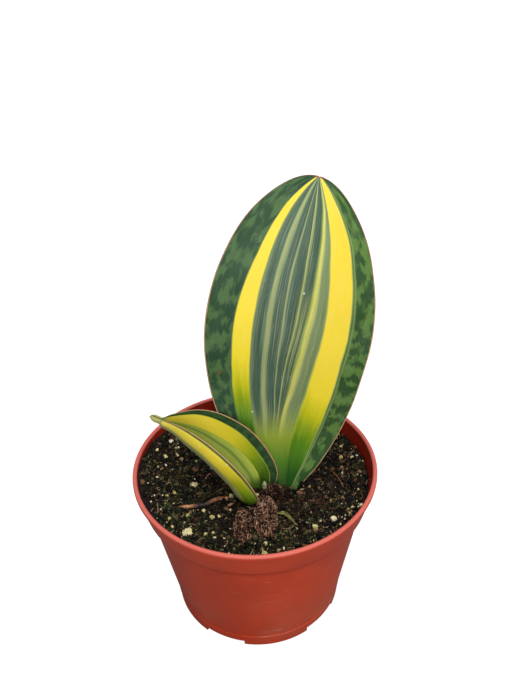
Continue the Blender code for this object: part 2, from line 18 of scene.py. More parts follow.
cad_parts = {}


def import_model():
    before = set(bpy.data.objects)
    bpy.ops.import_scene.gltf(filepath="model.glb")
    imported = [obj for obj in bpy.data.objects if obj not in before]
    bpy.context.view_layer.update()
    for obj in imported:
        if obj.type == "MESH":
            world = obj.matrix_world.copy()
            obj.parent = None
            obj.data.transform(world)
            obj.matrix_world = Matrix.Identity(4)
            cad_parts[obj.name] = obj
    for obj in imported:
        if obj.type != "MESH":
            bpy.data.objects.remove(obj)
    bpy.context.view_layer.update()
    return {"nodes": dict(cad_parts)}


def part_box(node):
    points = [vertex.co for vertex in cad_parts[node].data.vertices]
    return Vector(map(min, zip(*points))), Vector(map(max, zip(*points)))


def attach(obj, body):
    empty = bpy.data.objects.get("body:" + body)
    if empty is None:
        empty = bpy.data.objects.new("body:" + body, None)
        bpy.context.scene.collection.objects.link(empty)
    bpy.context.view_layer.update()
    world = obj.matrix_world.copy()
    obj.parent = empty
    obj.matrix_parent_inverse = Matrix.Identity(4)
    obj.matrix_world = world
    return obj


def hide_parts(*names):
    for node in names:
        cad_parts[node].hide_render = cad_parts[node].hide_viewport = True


LOG = logging.getLogger("snake_plant")
BODY = "root"
Socket = bpy.types.NodeSocket


# ------------------------------------------------------------------ colour and nodes


def srgb(code: str) -> tuple[float, float, float, float]:
    """Turn an sRGB hex colour into linear values.

    Args:
        code: Six hex digits, such as "8a3b2c".

    Returns:
        Linear red, green and blue, and an alpha of one.
    """
    parts = [int(code[i:i + 2], 16) / 255 for i in (0, 2, 4)]
    linear = [c / 12.92 if c <= 0.04045 else ((c + 0.055) / 1.055) ** 2.4 for c in parts]
    return (linear[0], linear[1], linear[2], 1.0)


class Nodes:
    """A material's node tree, with one way to add a node."""

    def __init__(self, name: str) -> None:
        """Make an empty material with an output and a Principled shader.

        Args:
            name: The material's name.
        """
        self.material = bpy.data.materials.new(name)
        self.material.use_nodes = True
        self.tree = self.material.node_tree
        self.tree.nodes.clear()
        self.shader = self.add("ShaderNodeBsdfPrincipled")
        output = self.add("ShaderNodeOutputMaterial")
        self.tree.links.new(self.shader.outputs[0], output.inputs["Surface"])

    def add(self, kind: str, settings: dict | None = None, links: dict | None = None) -> bpy.types.Node:
        """Add a node with its settings and links.

        Args:
            kind: The node's class name.
            settings: Property names to values; a key that is an input's name or number
                sets that input's default instead.
            links: Input names or numbers to the sockets that feed them.

        Returns:
            The new node.
        """
        node = self.tree.nodes.new(kind)
        for key, value in (settings or {}).items():
            if isinstance(key, str) and hasattr(node, key):
                setattr(node, key, value)
            else:
                node.inputs[key].default_value = value
        for key, socket in (links or {}).items():
            self.tree.links.new(socket, node.inputs[key])
        return node

    def math(self, operation: str, first: Socket | float, second: Socket | float = 0.5,
             third: Socket | float = 0.0, clamp: bool = False) -> Socket:
        """Add a Math node whose operands are sockets or numbers.

        Args:
            operation: Blender's name for the operation.
            first: The first operand.
            second: The second operand.
            third: The third operand, for operations with three.
            clamp: Whether the result is held between zero and one.

        Returns:
            The result's socket.
        """
        settings: dict = {"operation": operation, "use_clamp": clamp}
        links: dict = {}
        for index, value in enumerate((first, second, third)):
            (settings if isinstance(value, (int, float)) else links)[index] = value
        return self.add("ShaderNodeMath", settings, links).outputs[0]

    def step(self, value: Socket, low: float, high: float) -> Socket:
        """A smooth step of a value from zero at low to one at high.

        Args:
            value: The socket to read.
            low: Where the result is zero.
            high: Where the result is one; it may be less than low.

        Returns:
            The result's socket.
        """
        settings = {"interpolation_type": "SMOOTHSTEP", "From Min": low, "From Max": high}
        if low > high:
            settings.update({"From Min": high, "From Max": low, "To Min": 1.0, "To Max": 0.0})
        return self.add("ShaderNodeMapRange", settings, {"Value": value}).outputs[0]

    def mix(self, factor: Socket | float, first: Socket | str, second: Socket | str) -> Socket:
        """Mix two colours, each a socket or a hex code.

        Args:
            factor: A socket or a number from zero to one.
            first: The colour at zero.
            second: The colour at one.

        Returns:
            The mixed colour's socket.
        """
        settings: dict = {"data_type": "RGBA"}
        links: dict = {}
        for index, value in ((0, factor), (6, first), (7, second)):
            if isinstance(value, str):
                value = srgb(value)
            (links if isinstance(value, bpy.types.NodeSocket) else settings)[index] = value
        return self.add("ShaderNodeMix", settings, links).outputs[2]

    def glaze(self, colour: Socket | str, mask: Socket, share: Socket | float, over: Socket | str) -> Socket:
        """Lay a share of another colour over a colour where a mask says.

        Args:
            colour: The colour so far, a socket or a hex code.
            mask: The mask's socket.
            share: How much of the other colour the full mask lets through.
            over: The other colour, a socket or a hex code.

        Returns:
            The new colour's socket.
        """
        return self.mix(self.math("MULTIPLY", mask, share), colour, over)

    def ramp(self, value: Socket, stops: list[tuple[float, str]]) -> Socket:
        """Look a value up in a colour ramp.

        Args:
            value: The socket to read.
            stops: Positions from zero to one with hex colours.

        Returns:
            The colour's socket.
        """
        node = self.add("ShaderNodeValToRGB", {}, {0: value})
        elements = node.color_ramp.elements
        while len(elements) < len(stops):
            elements.new(1.0)
        for element, (position, code) in zip(elements, stops):
            element.position = position
            element.color = srgb(code)
        return node.outputs[0]

    def noise(self, vector: Socket, scale: float, detail: float = 3.0, rough: float = 0.55,
              warp: float = 0.0) -> Socket:
        """Fractal noise, from about 0.2 to 0.8.

        Args:
            vector: The socket of the place to read it at.
            scale: Cells per unit of the vector.
            detail: How many finer layers it has.
            rough: How strong they are.
            warp: How much it is distorted.

        Returns:
            The value's socket.
        """
        settings = {"Scale": scale, "Detail": detail, "Roughness": rough, "Distortion": warp}
        return self.add("ShaderNodeTexNoise", settings, {"Vector": vector}).outputs["Fac"]

    def streaks(self, across: Socket, along: Socket, fine: float, long: float, detail: float = 2.0,
                rough: float = 0.55) -> Socket:
        """Noise over two values, drawn out along the one that it crosses slowly.

        Args:
            across: The socket of the value across the streaks.
            along: The socket of the value along them.
            fine: Cells per unit across.
            long: Cells per unit along.
            detail: How many finer layers it has.
            rough: How strong they are.

        Returns:
            The value's socket.
        """
        spot = self.join(self.math("MULTIPLY", across, fine), self.math("MULTIPLY", along, long))
        return self.noise(spot, 1.0, detail, rough)

    def place(self, scale: tuple[float, float, float] = (1, 1, 1)) -> Socket:
        """The place on the piece in metres, stretched by a scale.

        Args:
            scale: How much each axis is stretched.

        Returns:
            The vector's socket.
        """
        coordinates = self.add("ShaderNodeTexCoord")
        return self.add("ShaderNodeMapping", {"Scale": scale},
                        {"Vector": coordinates.outputs["Object"]}).outputs[0]

    def attribute(self, name: str) -> Socket:
        """A number stored on the piece's vertices.

        Args:
            name: The attribute's name.

        Returns:
            The value's socket.
        """
        return self.add("ShaderNodeAttribute", {"attribute_name": name}).outputs["Fac"]

    def join(self, x: Socket | float, y: Socket | float, z: Socket | float = 0.0) -> Socket:
        """Three values as one vector.

        Args:
            x: A socket or a number.
            y: A socket or a number.
            z: A socket or a number.

        Returns:
            The vector's socket.
        """
        settings: dict = {}
        links: dict = {}
        for index, value in enumerate((x, y, z)):
            (settings if isinstance(value, (int, float)) else links)[index] = value
        return self.add("ShaderNodeCombineXYZ", settings, links).outputs[0]

    def bump(self, height: Socket, strength: float, distance: float, under: Socket | None = None) -> Socket:
        """Bump from a height, on top of another normal if one is given.

        Args:
            height: The height's socket.
            strength: From zero to one.
            distance: The depth of the relief in metres.
            under: The normal's socket that this relief rides on.

        Returns:
            The normal's socket.
        """
        links = {"Height": height}
        if under is not None:
            links["Normal"] = under
        return self.add("ShaderNodeBump", {"Strength": strength, "Distance": distance},
                        links).outputs[0]

    def finish(self, colour: Socket | str, roughness: Socket | float, normal: Socket | None = None,
               specular: float = 0.5, ior: float = 1.5) -> bpy.types.Material:
        """Connect the shader.

        Args:
            colour: A socket or a hex code.
            roughness: A socket or a number.
            normal: The normal's socket, if there is relief.
            specular: The shader's specular level.
            ior: Index of refraction.

        Returns:
            The finished material.
        """
        shader = self.shader
        for name, value in (("Base Color", colour), ("Roughness", roughness), ("Normal", normal)):
            if isinstance(value, str):
                shader.inputs[name].default_value = srgb(value)
            elif isinstance(value, (int, float)):
                shader.inputs[name].default_value = value
            elif value is not None:
                self.tree.links.new(value, shader.inputs[name])
        shader.inputs["Specular IOR Level"].default_value = specular
        shader.inputs["IOR"].default_value = ior
        return self.material


# ------------------------------------------------------------------ numpy shapes


def lattice_noise(points: np.ndarray, seed: int) -> np.ndarray:
    """Value noise: random numbers on a unit lattice, blended with smooth cubic weights.

    Args:
        points: Places, with x, y and z in the last axis.
        seed: Which random lattice to use.

    Returns:
        A value from -1 to 1 at each place.
    """
    cell = np.floor(points).astype(np.int64)
    part = points - cell
    blend = part * part * (3 - 2 * part)
    total = np.zeros(points.shape[:-1])
    for corner in range(8):
        offset = np.array([corner & 1, corner >> 1 & 1, corner >> 2 & 1])
        at = cell + offset
        code = at[..., 0] * 374761393 + at[..., 1] * 668265263 + at[..., 2] * 2147483647 + seed * 974634777
        code = (code ^ (code >> 13)) * 1274126177 & 0xFFFFFFFF
        code = (code ^ (code >> 16)) & 0xFFFF
        weight = np.prod(np.where(offset == 1, blend, 1 - blend), axis=-1)
        total += weight * (code / 32767.5 - 1)
    return total


def layered_noise(points: np.ndarray, seed: int, layers: int = 4, gain: float = 0.5) -> np.ndarray:
    """Value noise summed over layers, each twice as fine and weaker by the gain.

    Args:
        points: Places, with x, y and z in the last axis.
        seed: Which random lattice to use.
        layers: How many layers are summed.
        gain: Each layer's strength as a share of the one before.

    Returns:
        A value of about -1 to 1 at each place.
    """
    total, strength = np.zeros(points.shape[:-1]), 1.0
    for layer in range(layers):
        total += strength * lattice_noise(points * 2.0 ** layer + layer * 7.3, seed + layer)
        strength *= gain
    return total


def smoothstep(low: float, high: float, value: np.ndarray) -> np.ndarray:
    """Zero below low, one above high, and a cubic between.

    Args:
        low: Where it starts to rise.
        high: Where it reaches one.
        value: The values to step.

    Returns:
        The stepped values.
    """
    t = np.clip((value - low) / (high - low), 0, 1)
    return t * t * (3 - 2 * t)


def smooth_curve(knots: np.ndarray, values: np.ndarray, at: np.ndarray) -> np.ndarray:
    """A smooth curve through knots: cubic pieces whose slopes are the knots' own gradients.

    Args:
        knots: Rising positions.
        values: The values there, one row each.
        at: Where to read the curve.

    Returns:
        The curve's values.
    """
    knots, values, at = np.asarray(knots, float), np.asarray(values, float), np.asarray(at, float)
    slopes = np.gradient(values, knots, axis=0)
    k = np.clip(np.searchsorted(knots, at) - 1, 0, len(knots) - 2)
    span = knots[k + 1] - knots[k]
    t = np.clip((at - knots[k]) / span, 0, 1)
    if values.ndim > 1:
        span, t = span[..., None], t[..., None]
    return ((2 * t ** 3 - 3 * t ** 2 + 1) * values[k] + (t ** 3 - 2 * t ** 2 + t) * span * slopes[k]
            + (3 * t ** 2 - 2 * t ** 3) * values[k + 1] + (t ** 3 - t ** 2) * span * slopes[k + 1])


def build_mesh(name: str, points: np.ndarray, faces: list[np.ndarray],
               numbers: dict[str, np.ndarray] | None = None) -> bpy.types.Mesh:
    """Make a mesh from arrays.

    Args:
        name: The mesh's name.
        points: One row for each vertex.
        faces: Arrays of vertex numbers, one row for each face; each array holds faces of
            one size.
        numbers: Attributes to store, a value for each vertex.

    Returns:
        The new mesh, smooth shaded.
    """
    mesh = bpy.data.meshes.new(name)
    points = np.asarray(points, np.float32).reshape(-1, 3)
    mesh.vertices.add(len(points))
    mesh.vertices.foreach_set("co", points.ravel())
    corners = np.concatenate([group.ravel() for group in faces])
    sizes = np.concatenate([np.full(len(group), group.shape[1]) for group in faces])
    starts = np.concatenate([[0], np.cumsum(sizes)[:-1]])
    mesh.loops.add(len(corners))
    mesh.loops.foreach_set("vertex_index", corners.astype(np.int32))
    mesh.polygons.add(len(sizes))
    mesh.polygons.foreach_set("loop_start", starts.astype(np.int32))
    mesh.update(calc_edges=True)
    mesh.polygons.foreach_set("use_smooth", np.ones(len(sizes), bool))
    for key, values in (numbers or {}).items():
        store = mesh.attributes.new(key, "FLOAT", "POINT")
        store.data.foreach_set("value", np.asarray(values, np.float32).ravel())
    mesh.validate()
    return mesh


def add_piece(name: str, mesh: bpy.types.Mesh, material: bpy.types.Material,
              stands_for: tuple[str, ...] = ()) -> bpy.types.Object:
    """Put a finished mesh in the scene as a piece of the object.

    Args:
        name: The piece's name.
        mesh: Its mesh, already in place.
        material: Its material.
        stands_for: The CAD nodes that it replaces.

    Returns:
        The new object.
    """
    piece = bpy.data.objects.new(name, mesh)
    bpy.context.scene.collection.objects.link(piece)
    mesh.materials.append(material)
    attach(piece, BODY)
    if stands_for:
        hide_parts(*stands_for)
    LOG.info("%s: %d faces", name, len(mesh.polygons))
    return piece


def grid_faces(rows: int, columns: int, wrap: bool) -> np.ndarray:
    """Faces of a grid whose points are stored row by row.

    Args:
        rows: How many rows of points.
        columns: How many points in a row.
        wrap: Whether each row closes on itself.

    Returns:
        Vertex numbers, four to a face.
    """
    i = np.arange(rows - 1)[:, None]
    j = np.arange(columns if wrap else columns - 1)[None, :]
    k = (j + 1) % columns
    ring = [i * columns + j, i * columns + k, (i + 1) * columns + k, (i + 1) * columns + j]
    return np.stack([corner + 0 * i + 0 * j for corner in ring], -1).reshape(-1, 4)


def cap_faces(ring: np.ndarray, pole: int, flip: bool) -> np.ndarray:
    """Triangles from a ring of vertices to a pole.

    Args:
        ring: The ring's vertex numbers.
        pole: The pole's vertex number.
        flip: Whether to turn the triangles over.

    Returns:
        Vertex numbers, three to a face.
    """
    after = np.roll(ring, -1)
    first, second = (after, ring) if flip else (ring, after)
    return np.stack([first, second, np.full(len(ring), pole)], -1)


def closed_loft(rings: np.ndarray) -> tuple[np.ndarray, list[np.ndarray]]:
    """A closed skin over rings of points, with a pole in the middle of each end.

    Args:
        rings: Points by ring, place in the ring, and axis.

    Returns:
        The points and the faces.
    """
    rows, columns, _ = rings.shape
    points = np.concatenate([rings.reshape(-1, 3), rings[:1].mean(1), rings[-1:].mean(1)])
    first = np.arange(columns)
    last = (rows - 1) * columns + first
    total = rows * columns
    return points, [grid_faces(rows, columns, True), cap_faces(first, total, True),
                    cap_faces(last, total + 1, False)]


def facing_out(mesh: bpy.types.Mesh) -> bpy.types.Mesh:
    """Turn a closed mesh's faces over if its volume comes out negative.

    Args:
        mesh: A closed mesh.

    Returns:
        The same mesh, facing outwards.
    """
    mesh.calc_loop_triangles()
    points = np.empty(len(mesh.vertices) * 3, np.float32)
    mesh.vertices.foreach_get("co", points)
    corners = np.empty(len(mesh.loop_triangles) * 3, np.int32)
    mesh.loop_triangles.foreach_get("vertices", corners)
    a, b, c = np.moveaxis(points.reshape(-1, 3)[corners.reshape(-1, 3)].astype(float), 1, 0)
    if np.einsum("ij,ij->i", a, np.cross(b, c)).sum() < 0:
        mesh.flip_normals()
    return mesh


def rough_ball(level: int) -> tuple[np.ndarray, np.ndarray]:
    """A unit ball of triangles: an icosahedron whose faces are split in four at each level.

    Args:
        level: How many times the faces are split.

    Returns:
        The points and the triangles.
    """
    g = (1 + 5 ** 0.5) / 2
    points = [(-1, g, 0), (1, g, 0), (-1, -g, 0), (1, -g, 0), (0, -1, g), (0, 1, g),
              (0, -1, -g), (0, 1, -g), (g, 0, -1), (g, 0, 1), (-g, 0, -1), (-g, 0, 1)]
    faces = [(0, 11, 5), (0, 5, 1), (0, 1, 7), (0, 7, 10), (0, 10, 11), (1, 5, 9), (5, 11, 4),
             (11, 10, 2), (10, 7, 6), (7, 1, 8), (3, 9, 4), (3, 4, 2), (3, 2, 6), (3, 6, 8),
             (3, 8, 9), (4, 9, 5), (2, 4, 11), (6, 2, 10), (8, 6, 7), (9, 8, 1)]
    points = [Vector(point).normalized() for point in points]
    for _ in range(level):
        middles: dict = {}
        finer = []
        for a, b, c in faces:
            ring = []
            for i, j in ((a, b), (b, c), (c, a)):
                key = (min(i, j), max(i, j))
                if key not in middles:
                    middles[key] = len(points)
                    points.append(((points[i] + points[j]) / 2).normalized())
                ring.append(middles[key])
            d, e, f = ring
            finer += [(a, d, f), (b, e, d), (c, f, e), (d, e, f)]
        faces = finer
    return np.array([tuple(point) for point in points]), np.array(faces)


# ------------------------------------------------------------------ the pot


@dataclass(frozen=True)
class MouldedPlastic:
    """Polypropylene, injection moulded: even colour, a satin skin and pale scuffs from handling."""

    name: str = "moulded_polypropylene"
    body: str = "b43c1e"
    deep: str = "a43318"
    scuff: str = "cf8f7c"
    dust: str = "8f5f4c"
    painted_inner_shade: str = "7c1a09"
    painted_lip_highlight: str = "c4655b"
    lip_from: float = 0.1060
    lip_to: float = 0.1070
    inner_flare: float = 0.215
    inner_radius: float = 0.0517

    def build(self) -> bpy.types.Material:
        """Make the material.

        Returns:
            The finished material.
        """
        n = Nodes(self.name)
        cloudy = n.noise(n.place(), 18.0, 4.0, 0.6)
        colour = n.mix(n.step(cloudy, 0.35, 0.7), self.deep, self.body)
        x, y, height = n.add("ShaderNodeSeparateXYZ", {}, {0: n.place()}).outputs
        # scuffs: long thin scratches round the pot, thickest near the foot
        scratches = n.noise(n.place((60, 60, 900)), 1.0, 2.0, 0.6, 0.6)
        patches = n.noise(n.place(), 26.0, 3.0)
        low = n.step(height, 0.075, 0.004)
        rubbed = n.math("MULTIPLY", n.step(scratches, 0.58, 0.72), n.step(patches, 0.5, 0.68))
        colour = n.glaze(colour, rubbed, n.math("MULTIPLY_ADD", low, 0.4, 0.12), self.scuff)
        dusty = n.math("MULTIPLY", n.step(patches, 0.4, 0.75), n.math("MULTIPLY", low, 0.35))
        colour = n.mix(dusty, colour, self.dust)
        # painted shade: the inner wall above the mix is darkened to a deep red
        reach = n.math("POWER", n.math("ADD", n.math("MULTIPLY", x, x), n.math("MULTIPLY", y, y)), 0.5)
        line = n.math("MULTIPLY_ADD", height, self.inner_flare, self.inner_radius)
        inner = n.step(n.math("SUBTRACT", reach, line), 0.0008, 0.0002)
        colour = n.glaze(colour, inner, n.step(height, 0.08, 0.09), self.painted_inner_shade)
        scratch = n.step(n.noise(n.place((70, 70, 1500)), 1.0, 2.0, 0.6, 0.8), 0.66, 0.72)
        colour = n.glaze(colour, scratch, n.math("MULTIPLY", inner, 0.35), self.scuff)
        # painted highlight: the top of the lip is lightened to a pale pink
        colour = n.glaze(colour, n.step(height, self.lip_from, self.lip_to), 0.70, self.painted_lip_highlight)
        grain = n.bump(n.noise(n.place(), 1400.0, 2.0), 0.10, 0.0002)
        flow = n.bump(n.noise(n.place(), 22.0, 2.0), 0.16, 0.0012, grain)
        gloss = n.add("ShaderNodeMapRange", {"To Min": 0.34, "To Max": 0.52}, {0: cloudy}).outputs[0]
        return n.finish(colour, gloss, flow, specular=0.22)


@dataclass
class Pot:
    """The nursery pot: a turned section, with its foot notched and its floor drained."""

    rim_radius: float = 0.0770
    height: float = 0.1078
    lip_height: float = 0.0028
    collar_height: float = 0.0192
    collar_top: float = 0.0762
    collar_foot: float = 0.0722
    body_top: float = 0.0697
    ridge_radius: float = 0.0569
    ridge_height: float = 0.0090
    ridge_relief: float = 0.0005
    foot_radius: float = 0.0559
    foot_width: float = 0.0035
    foot_recess: float = 0.0030
    floor_top: float = 0.0048
    wall: float = 0.0016
    feet: int = 5
    notch_width: float = 0.0270
    notch_height: float = 0.0037
    notch_turn: float = math.radians(-114)
    drain_radius: float = 0.0040
    drain_inset: float = 0.0130
    steps: int = 288

    @property
    def step_height(self) -> float:
        """Height of the step under the collar."""
        return self.height - self.collar_height

    def corners(self) -> list[tuple[float, float, float]]:
        """The half section's corners, from the floor inside over the lip to the underside.

        Returns:
            Radius, height and fillet radius of each corner.
        """
        lip_low = self.height - self.lip_height
        inner_lip = self.collar_top - self.wall - 0.0005
        return [
            (0.0, self.floor_top, 0.0),
            (self.ridge_radius - self.wall - 0.0006, self.floor_top, 0.0018),
            (self.ridge_radius - self.wall, self.ridge_height, 0.0010),
            (self.body_top - self.wall, self.step_height - self.wall, 0.0012),
            (self.collar_foot - self.wall + 0.0004, self.step_height + self.wall, 0.0012),
            (inner_lip, lip_low, 0.0010),
            (inner_lip + 0.0002, self.height, 0.0012),
            (self.rim_radius, self.height, 0.0012),
            (self.rim_radius, lip_low, 0.0006),
            (self.collar_top, lip_low - 0.0003, 0.0003),
            (self.collar_foot, self.step_height, 0.0009),
            (self.body_top, self.step_height, 0.0005),
            (self.ridge_radius - self.ridge_relief, self.ridge_height + self.ridge_relief, 0.0002),
            (self.ridge_radius, self.ridge_height, 0.0002),
            (self.ridge_radius - self.ridge_relief, self.ridge_height - self.ridge_relief, 0.0002),
            (self.foot_radius, 0.0, 0.0006),
            (self.foot_radius - self.foot_width, 0.0, 0.0006),
            (self.foot_radius - self.foot_width - 0.0008, self.foot_recess, 0.0005),
            (0.0, self.foot_recess, 0.0),
        ]

    def section(self) -> np.ndarray:
        """The half section as points: straight runs with a tangent arc at each filleted corner.

        Returns:
            Radius and height, one row each.
        """
        corners = np.array(self.corners())
        points = [corners[0, :2]]
        for before, corner, after in zip(corners[:-2], corners[1:-1], corners[2:]):
            here, radius = corner[:2], corner[2]
            back = (before[:2] - here) / np.linalg.norm(before[:2] - here)
            on = (after[:2] - here) / np.linalg.norm(after[:2] - here)
            half_angle = math.acos(np.clip(back @ on, -1, 1)) / 2
            room = 0.45 * min(np.linalg.norm(before[:2] - here), np.linalg.norm(after[:2] - here))
            reach = min(radius / math.tan(half_angle), room)
            start, end = here + back * reach, here + on * reach
            t = np.linspace(0, 1, 7)[:, None]
            # a conic through the two tangent points, close to a circular arc
            weight = math.sin(half_angle)
            blend = (1 - t) ** 2 + 2 * weight * t * (1 - t) + t ** 2
            arc = ((1 - t) ** 2 * start + 2 * weight * t * (1 - t) * here + t ** 2 * end) / blend
            points.extend(arc)
        points.append(corners[-1, :2])
        dense = [points[0]]
        for before, after in zip(points[:-1], points[1:]):
            count = max(1, int(np.linalg.norm(after - before) / 0.006))
            for i in range(1, count + 1):
                dense.append(before + (after - before) * i / count)
        return np.array(dense)

    def shell(self) -> bpy.types.Mesh:
        """The section turned about Z.

        Returns:
            A closed mesh.
        """
        section = self.section()
        angle = np.arange(self.steps) / self.steps * math.tau
        ring = np.stack([np.cos(angle), np.sin(angle)], -1)
        inner = section[1:-1]
        rings = np.empty((len(inner), self.steps, 3))
        rings[..., :2] = inner[:, None, :1] * ring[None]
        rings[..., 2] = inner[:, 1][:, None]
        points, faces = closed_loft(rings)
        points[-2:, :2] = 0.0
        points[-2, 2], points[-1, 2] = self.floor_top, self.foot_recess
        return facing_out(build_mesh("pot_shell", points, faces))

    def cutter(self, kind: str, turn: float) -> bpy.types.Object:
        """A notch's box or a drain hole's cylinder, turned about Z.

        Args:
            kind: "notch" or "drain".
            turn: Its compass angle.

        Returns:
            The cutter, not part of the object.
        """
        if kind == "notch":
            half = np.array([1.5 * self.foot_width, self.notch_width / 2, self.notch_height])
            reach = self.foot_radius - self.foot_width / 2
            ring = np.array([(-1, -1), (1, -1), (1, 1), (-1, 1)]) * half[:2]
            low, high = -half[2], half[2]
        else:
            reach = self.foot_radius - self.drain_inset
            angle = np.arange(28) / 28 * math.tau
            ring = np.stack([np.cos(angle), np.sin(angle)], -1) * self.drain_radius
            low, high = -0.01, 0.02
        rings = np.array([[(x + reach, y, z) for x, y in ring] for z in (low, high)])
        points, faces = closed_loft(rings)
        c, s = math.cos(turn), math.sin(turn)
        points = points @ np.array([(c, s, 0), (-s, c, 0), (0, 0, 1)])
        cutter = bpy.data.objects.new("cutter", facing_out(build_mesh("cutter", points, faces)))
        bpy.context.scene.collection.objects.link(cutter)
        return cutter

    def build(self) -> None:
        """Build the pot and stand it in for the CAD one."""
        blank = bpy.data.objects.new("pot_blank", self.shell())
        bpy.context.scene.collection.objects.link(blank)
        cutters = []
        for i in range(self.feet):
            turn = self.notch_turn + i * math.tau / self.feet
            cutters += [self.cutter("notch", turn), self.cutter("drain", turn)]
        for cutter in cutters:
            change = blank.modifiers.new("cut", "BOOLEAN")
            change.operation, change.object = "DIFFERENCE", cutter
        bpy.context.view_layer.update()
        shaped = blank.evaluated_get(bpy.context.evaluated_depsgraph_get())
        mesh = bpy.data.meshes.new_from_object(shaped)
        for extra in [blank] + cutters:
            bpy.data.objects.remove(extra, do_unlink=True)
        mesh.materials.clear()
        mesh.shade_smooth()
        mesh.set_sharp_from_angle(angle=math.radians(42))
        add_piece("nursery_pot", mesh, MouldedPlastic().build(), ("pot",))


# ------------------------------------------------------------------ the leaves


@dataclass(frozen=True)
class LeafPattern:
    """The colours of a leaf across its strands, and how they change along it.

    The strand number runs from -1 at the left margin to 1 at the right and keeps its
    value along a stripe, so that stripes narrow together towards the tip and the foot.
    """

    name: str
    stops: list[tuple[float, str]]
    pale_stops: list[tuple[float, str]]
    stripes: tuple[tuple[float, float], ...]
    ripe_stops: list[tuple[float, str]]
    foot_stops: list[tuple[float, str]]
    foot_high: float
    mottled: tuple[tuple[float, float], ...]
    dark: tuple[str, str] = ("25422a", "2b4824")
    light: tuple[str, str] = ("4b6a3c", "5c7e3a")
    slant: float = 0.10
    margin_low: str = "c39a78"
    margin_high: str = "84503f"
    tip: str = "7a4438"
    tip_from: float = 0.9985
    tip_fade: float = 0.003
    bloom: float = 0.18

    def band(self, n: Nodes, strand: Socket, low: float, high: float, soft: float = 0.012) -> Socket:
        """A mask that is one between two strands.

        Args:
            n: The material's nodes.
            strand: The strand number's socket.
            low: The first strand.
            high: The last strand.
            soft: The width of each edge.

        Returns:
            The mask's socket.
        """
        rising = n.step(strand, low - soft, low + soft)
        falling = n.step(strand, high + soft, high - soft)
        return n.math("MULTIPLY", rising, falling)

    def build(self) -> bpy.types.Material:
        """Make the leaf's material: living tissue under a thin waxy skin.

        Returns:
            The finished material.
        """
        n = Nodes(self.name)
        strand, along, across = (n.attribute(key) for key in ("strand", "along", "across"))
        # stripes waver a little, and fray into threads about 0.4 mm wide
        waver = n.streaks(strand, along, 7.0, 5.0)
        threads_seen = n.streaks(strand, along, 70.0, 2.6, rough=0.6)
        hairs = n.streaks(strand, along, 170.0, 11.0)
        shift = n.math("ADD", n.math("MULTIPLY_ADD", waver, 0.05, -0.025),
                       n.math("MULTIPLY_ADD", threads_seen, 0.016, -0.008))
        moved = n.math("ADD", strand, shift)
        position = n.math("MULTIPLY_ADD", moved, 0.5, 0.5)
        colour = n.ramp(position, self.stops)
        pale = n.ramp(position, self.pale_stops)
        colour = n.glaze(colour, n.step(threads_seen, 0.52, 0.66), 0.46, pale)
        colour = n.glaze(colour, n.step(hairs, 0.35, 0.75), 0.08, "cfd3a0")
        colour = n.glaze(colour, n.step(hairs, 0.60, 0.30), 0.22, "24382a")
        colour = self.ripen(n, colour, moved, along, hairs)
        colour = self.mottle(n, colour, moved, along)
        colour = self.mark(n, colour, across, along)
        ribs = n.streaks(across, along, 90.0, 6.0)
        pores = n.bump(n.noise(n.place(), 900.0, 2.0), 0.12, 0.0002, n.bump(ribs, 0.20, 0.00035))
        gloss = n.add("ShaderNodeMapRange", {"To Min": 0.36, "To Max": 0.50},
                      {0: n.noise(n.place(), 60.0, 3.0)}).outputs[0]
        return n.finish(colour, gloss, pores, specular=0.20, ior=1.45)

    def ripen(self, n: Nodes, colour: Socket, strand: Socket, along: Socket, hairs: Socket) -> Socket:
        """Turn the stripes from yellow to green, and flush the middle, towards the foot; the darkest green
        at the foot is partly painted shade.

        Args:
            n: The material's nodes.
            colour: The colour so far.
            strand: The strand number's socket.
            along: The share of the length's socket.
            hairs: The fine fibres' socket.

        Returns:
            The new colour's socket.
        """
        drift = n.streaks(strand, along, 16.0, 4.0)
        level = n.math("ADD", n.math("MULTIPLY_ADD", strand, self.slant, along),
                       n.math("MULTIPLY_ADD", drift, 0.10, -0.05))
        # towards the foot both ramps end in dark green, partly the leaf's own colour and partly painted
        # shade low in the pot
        foot = n.ramp(along, self.foot_stops)
        grown = n.step(along, 0.05, 0.30)
        foot = n.glaze(foot, n.math("MULTIPLY", n.step(hairs, 0.40, 0.70), 0.30), grown, "a8b85c")
        middle = self.band(n, strand, self.stripes[0][0], self.stripes[-1][1])
        colour = n.glaze(colour, middle, n.step(along, self.foot_high, 0.5 * self.foot_high), foot)
        ripe = n.ramp(level, self.ripe_stops)
        ripe = n.glaze(ripe, n.math("MULTIPLY", n.step(hairs, 0.45, 0.75), 0.12), grown, "fff3a0")
        for low, high in self.stripes:
            colour = n.mix(self.band(n, strand, low, high), colour, ripe)
        return colour

    def mottle(self, n: Nodes, colour: Socket, strand: Socket, along: Socket) -> Socket:
        """Blotch the dark bands with paler clouds whose edges are ragged along the fibres.

        Args:
            n: The material's nodes.
            colour: The colour so far.
            strand: The strand number's socket.
            along: The share of the length's socket.

        Returns:
            The new colour's socket.
        """
        teeth = n.streaks(strand, along, 42.0, 9.0, detail=1.0)
        stepped = n.math("MULTIPLY_ADD", teeth, 0.032, along)
        clouds = n.streaks(strand, stepped, 8.0, 24.0, rough=0.5)
        mask = n.math("MULTIPLY", n.step(clouds, 0.44, 0.60), 0.85)
        side = n.step(strand, -0.1, 0.1)
        haze = n.math("MULTIPLY", n.step(n.noise(n.place(), 45.0, 3.0), 0.4, 0.7), 0.14)
        blotched = n.mix(mask, n.mix(side, *self.dark), n.mix(side, *self.light))
        blotched = n.mix(haze, blotched, "5c7458")
        for low, high in self.mottled:
            colour = n.mix(self.band(n, strand, low, high, 0.02), colour, blotched)
        return colour

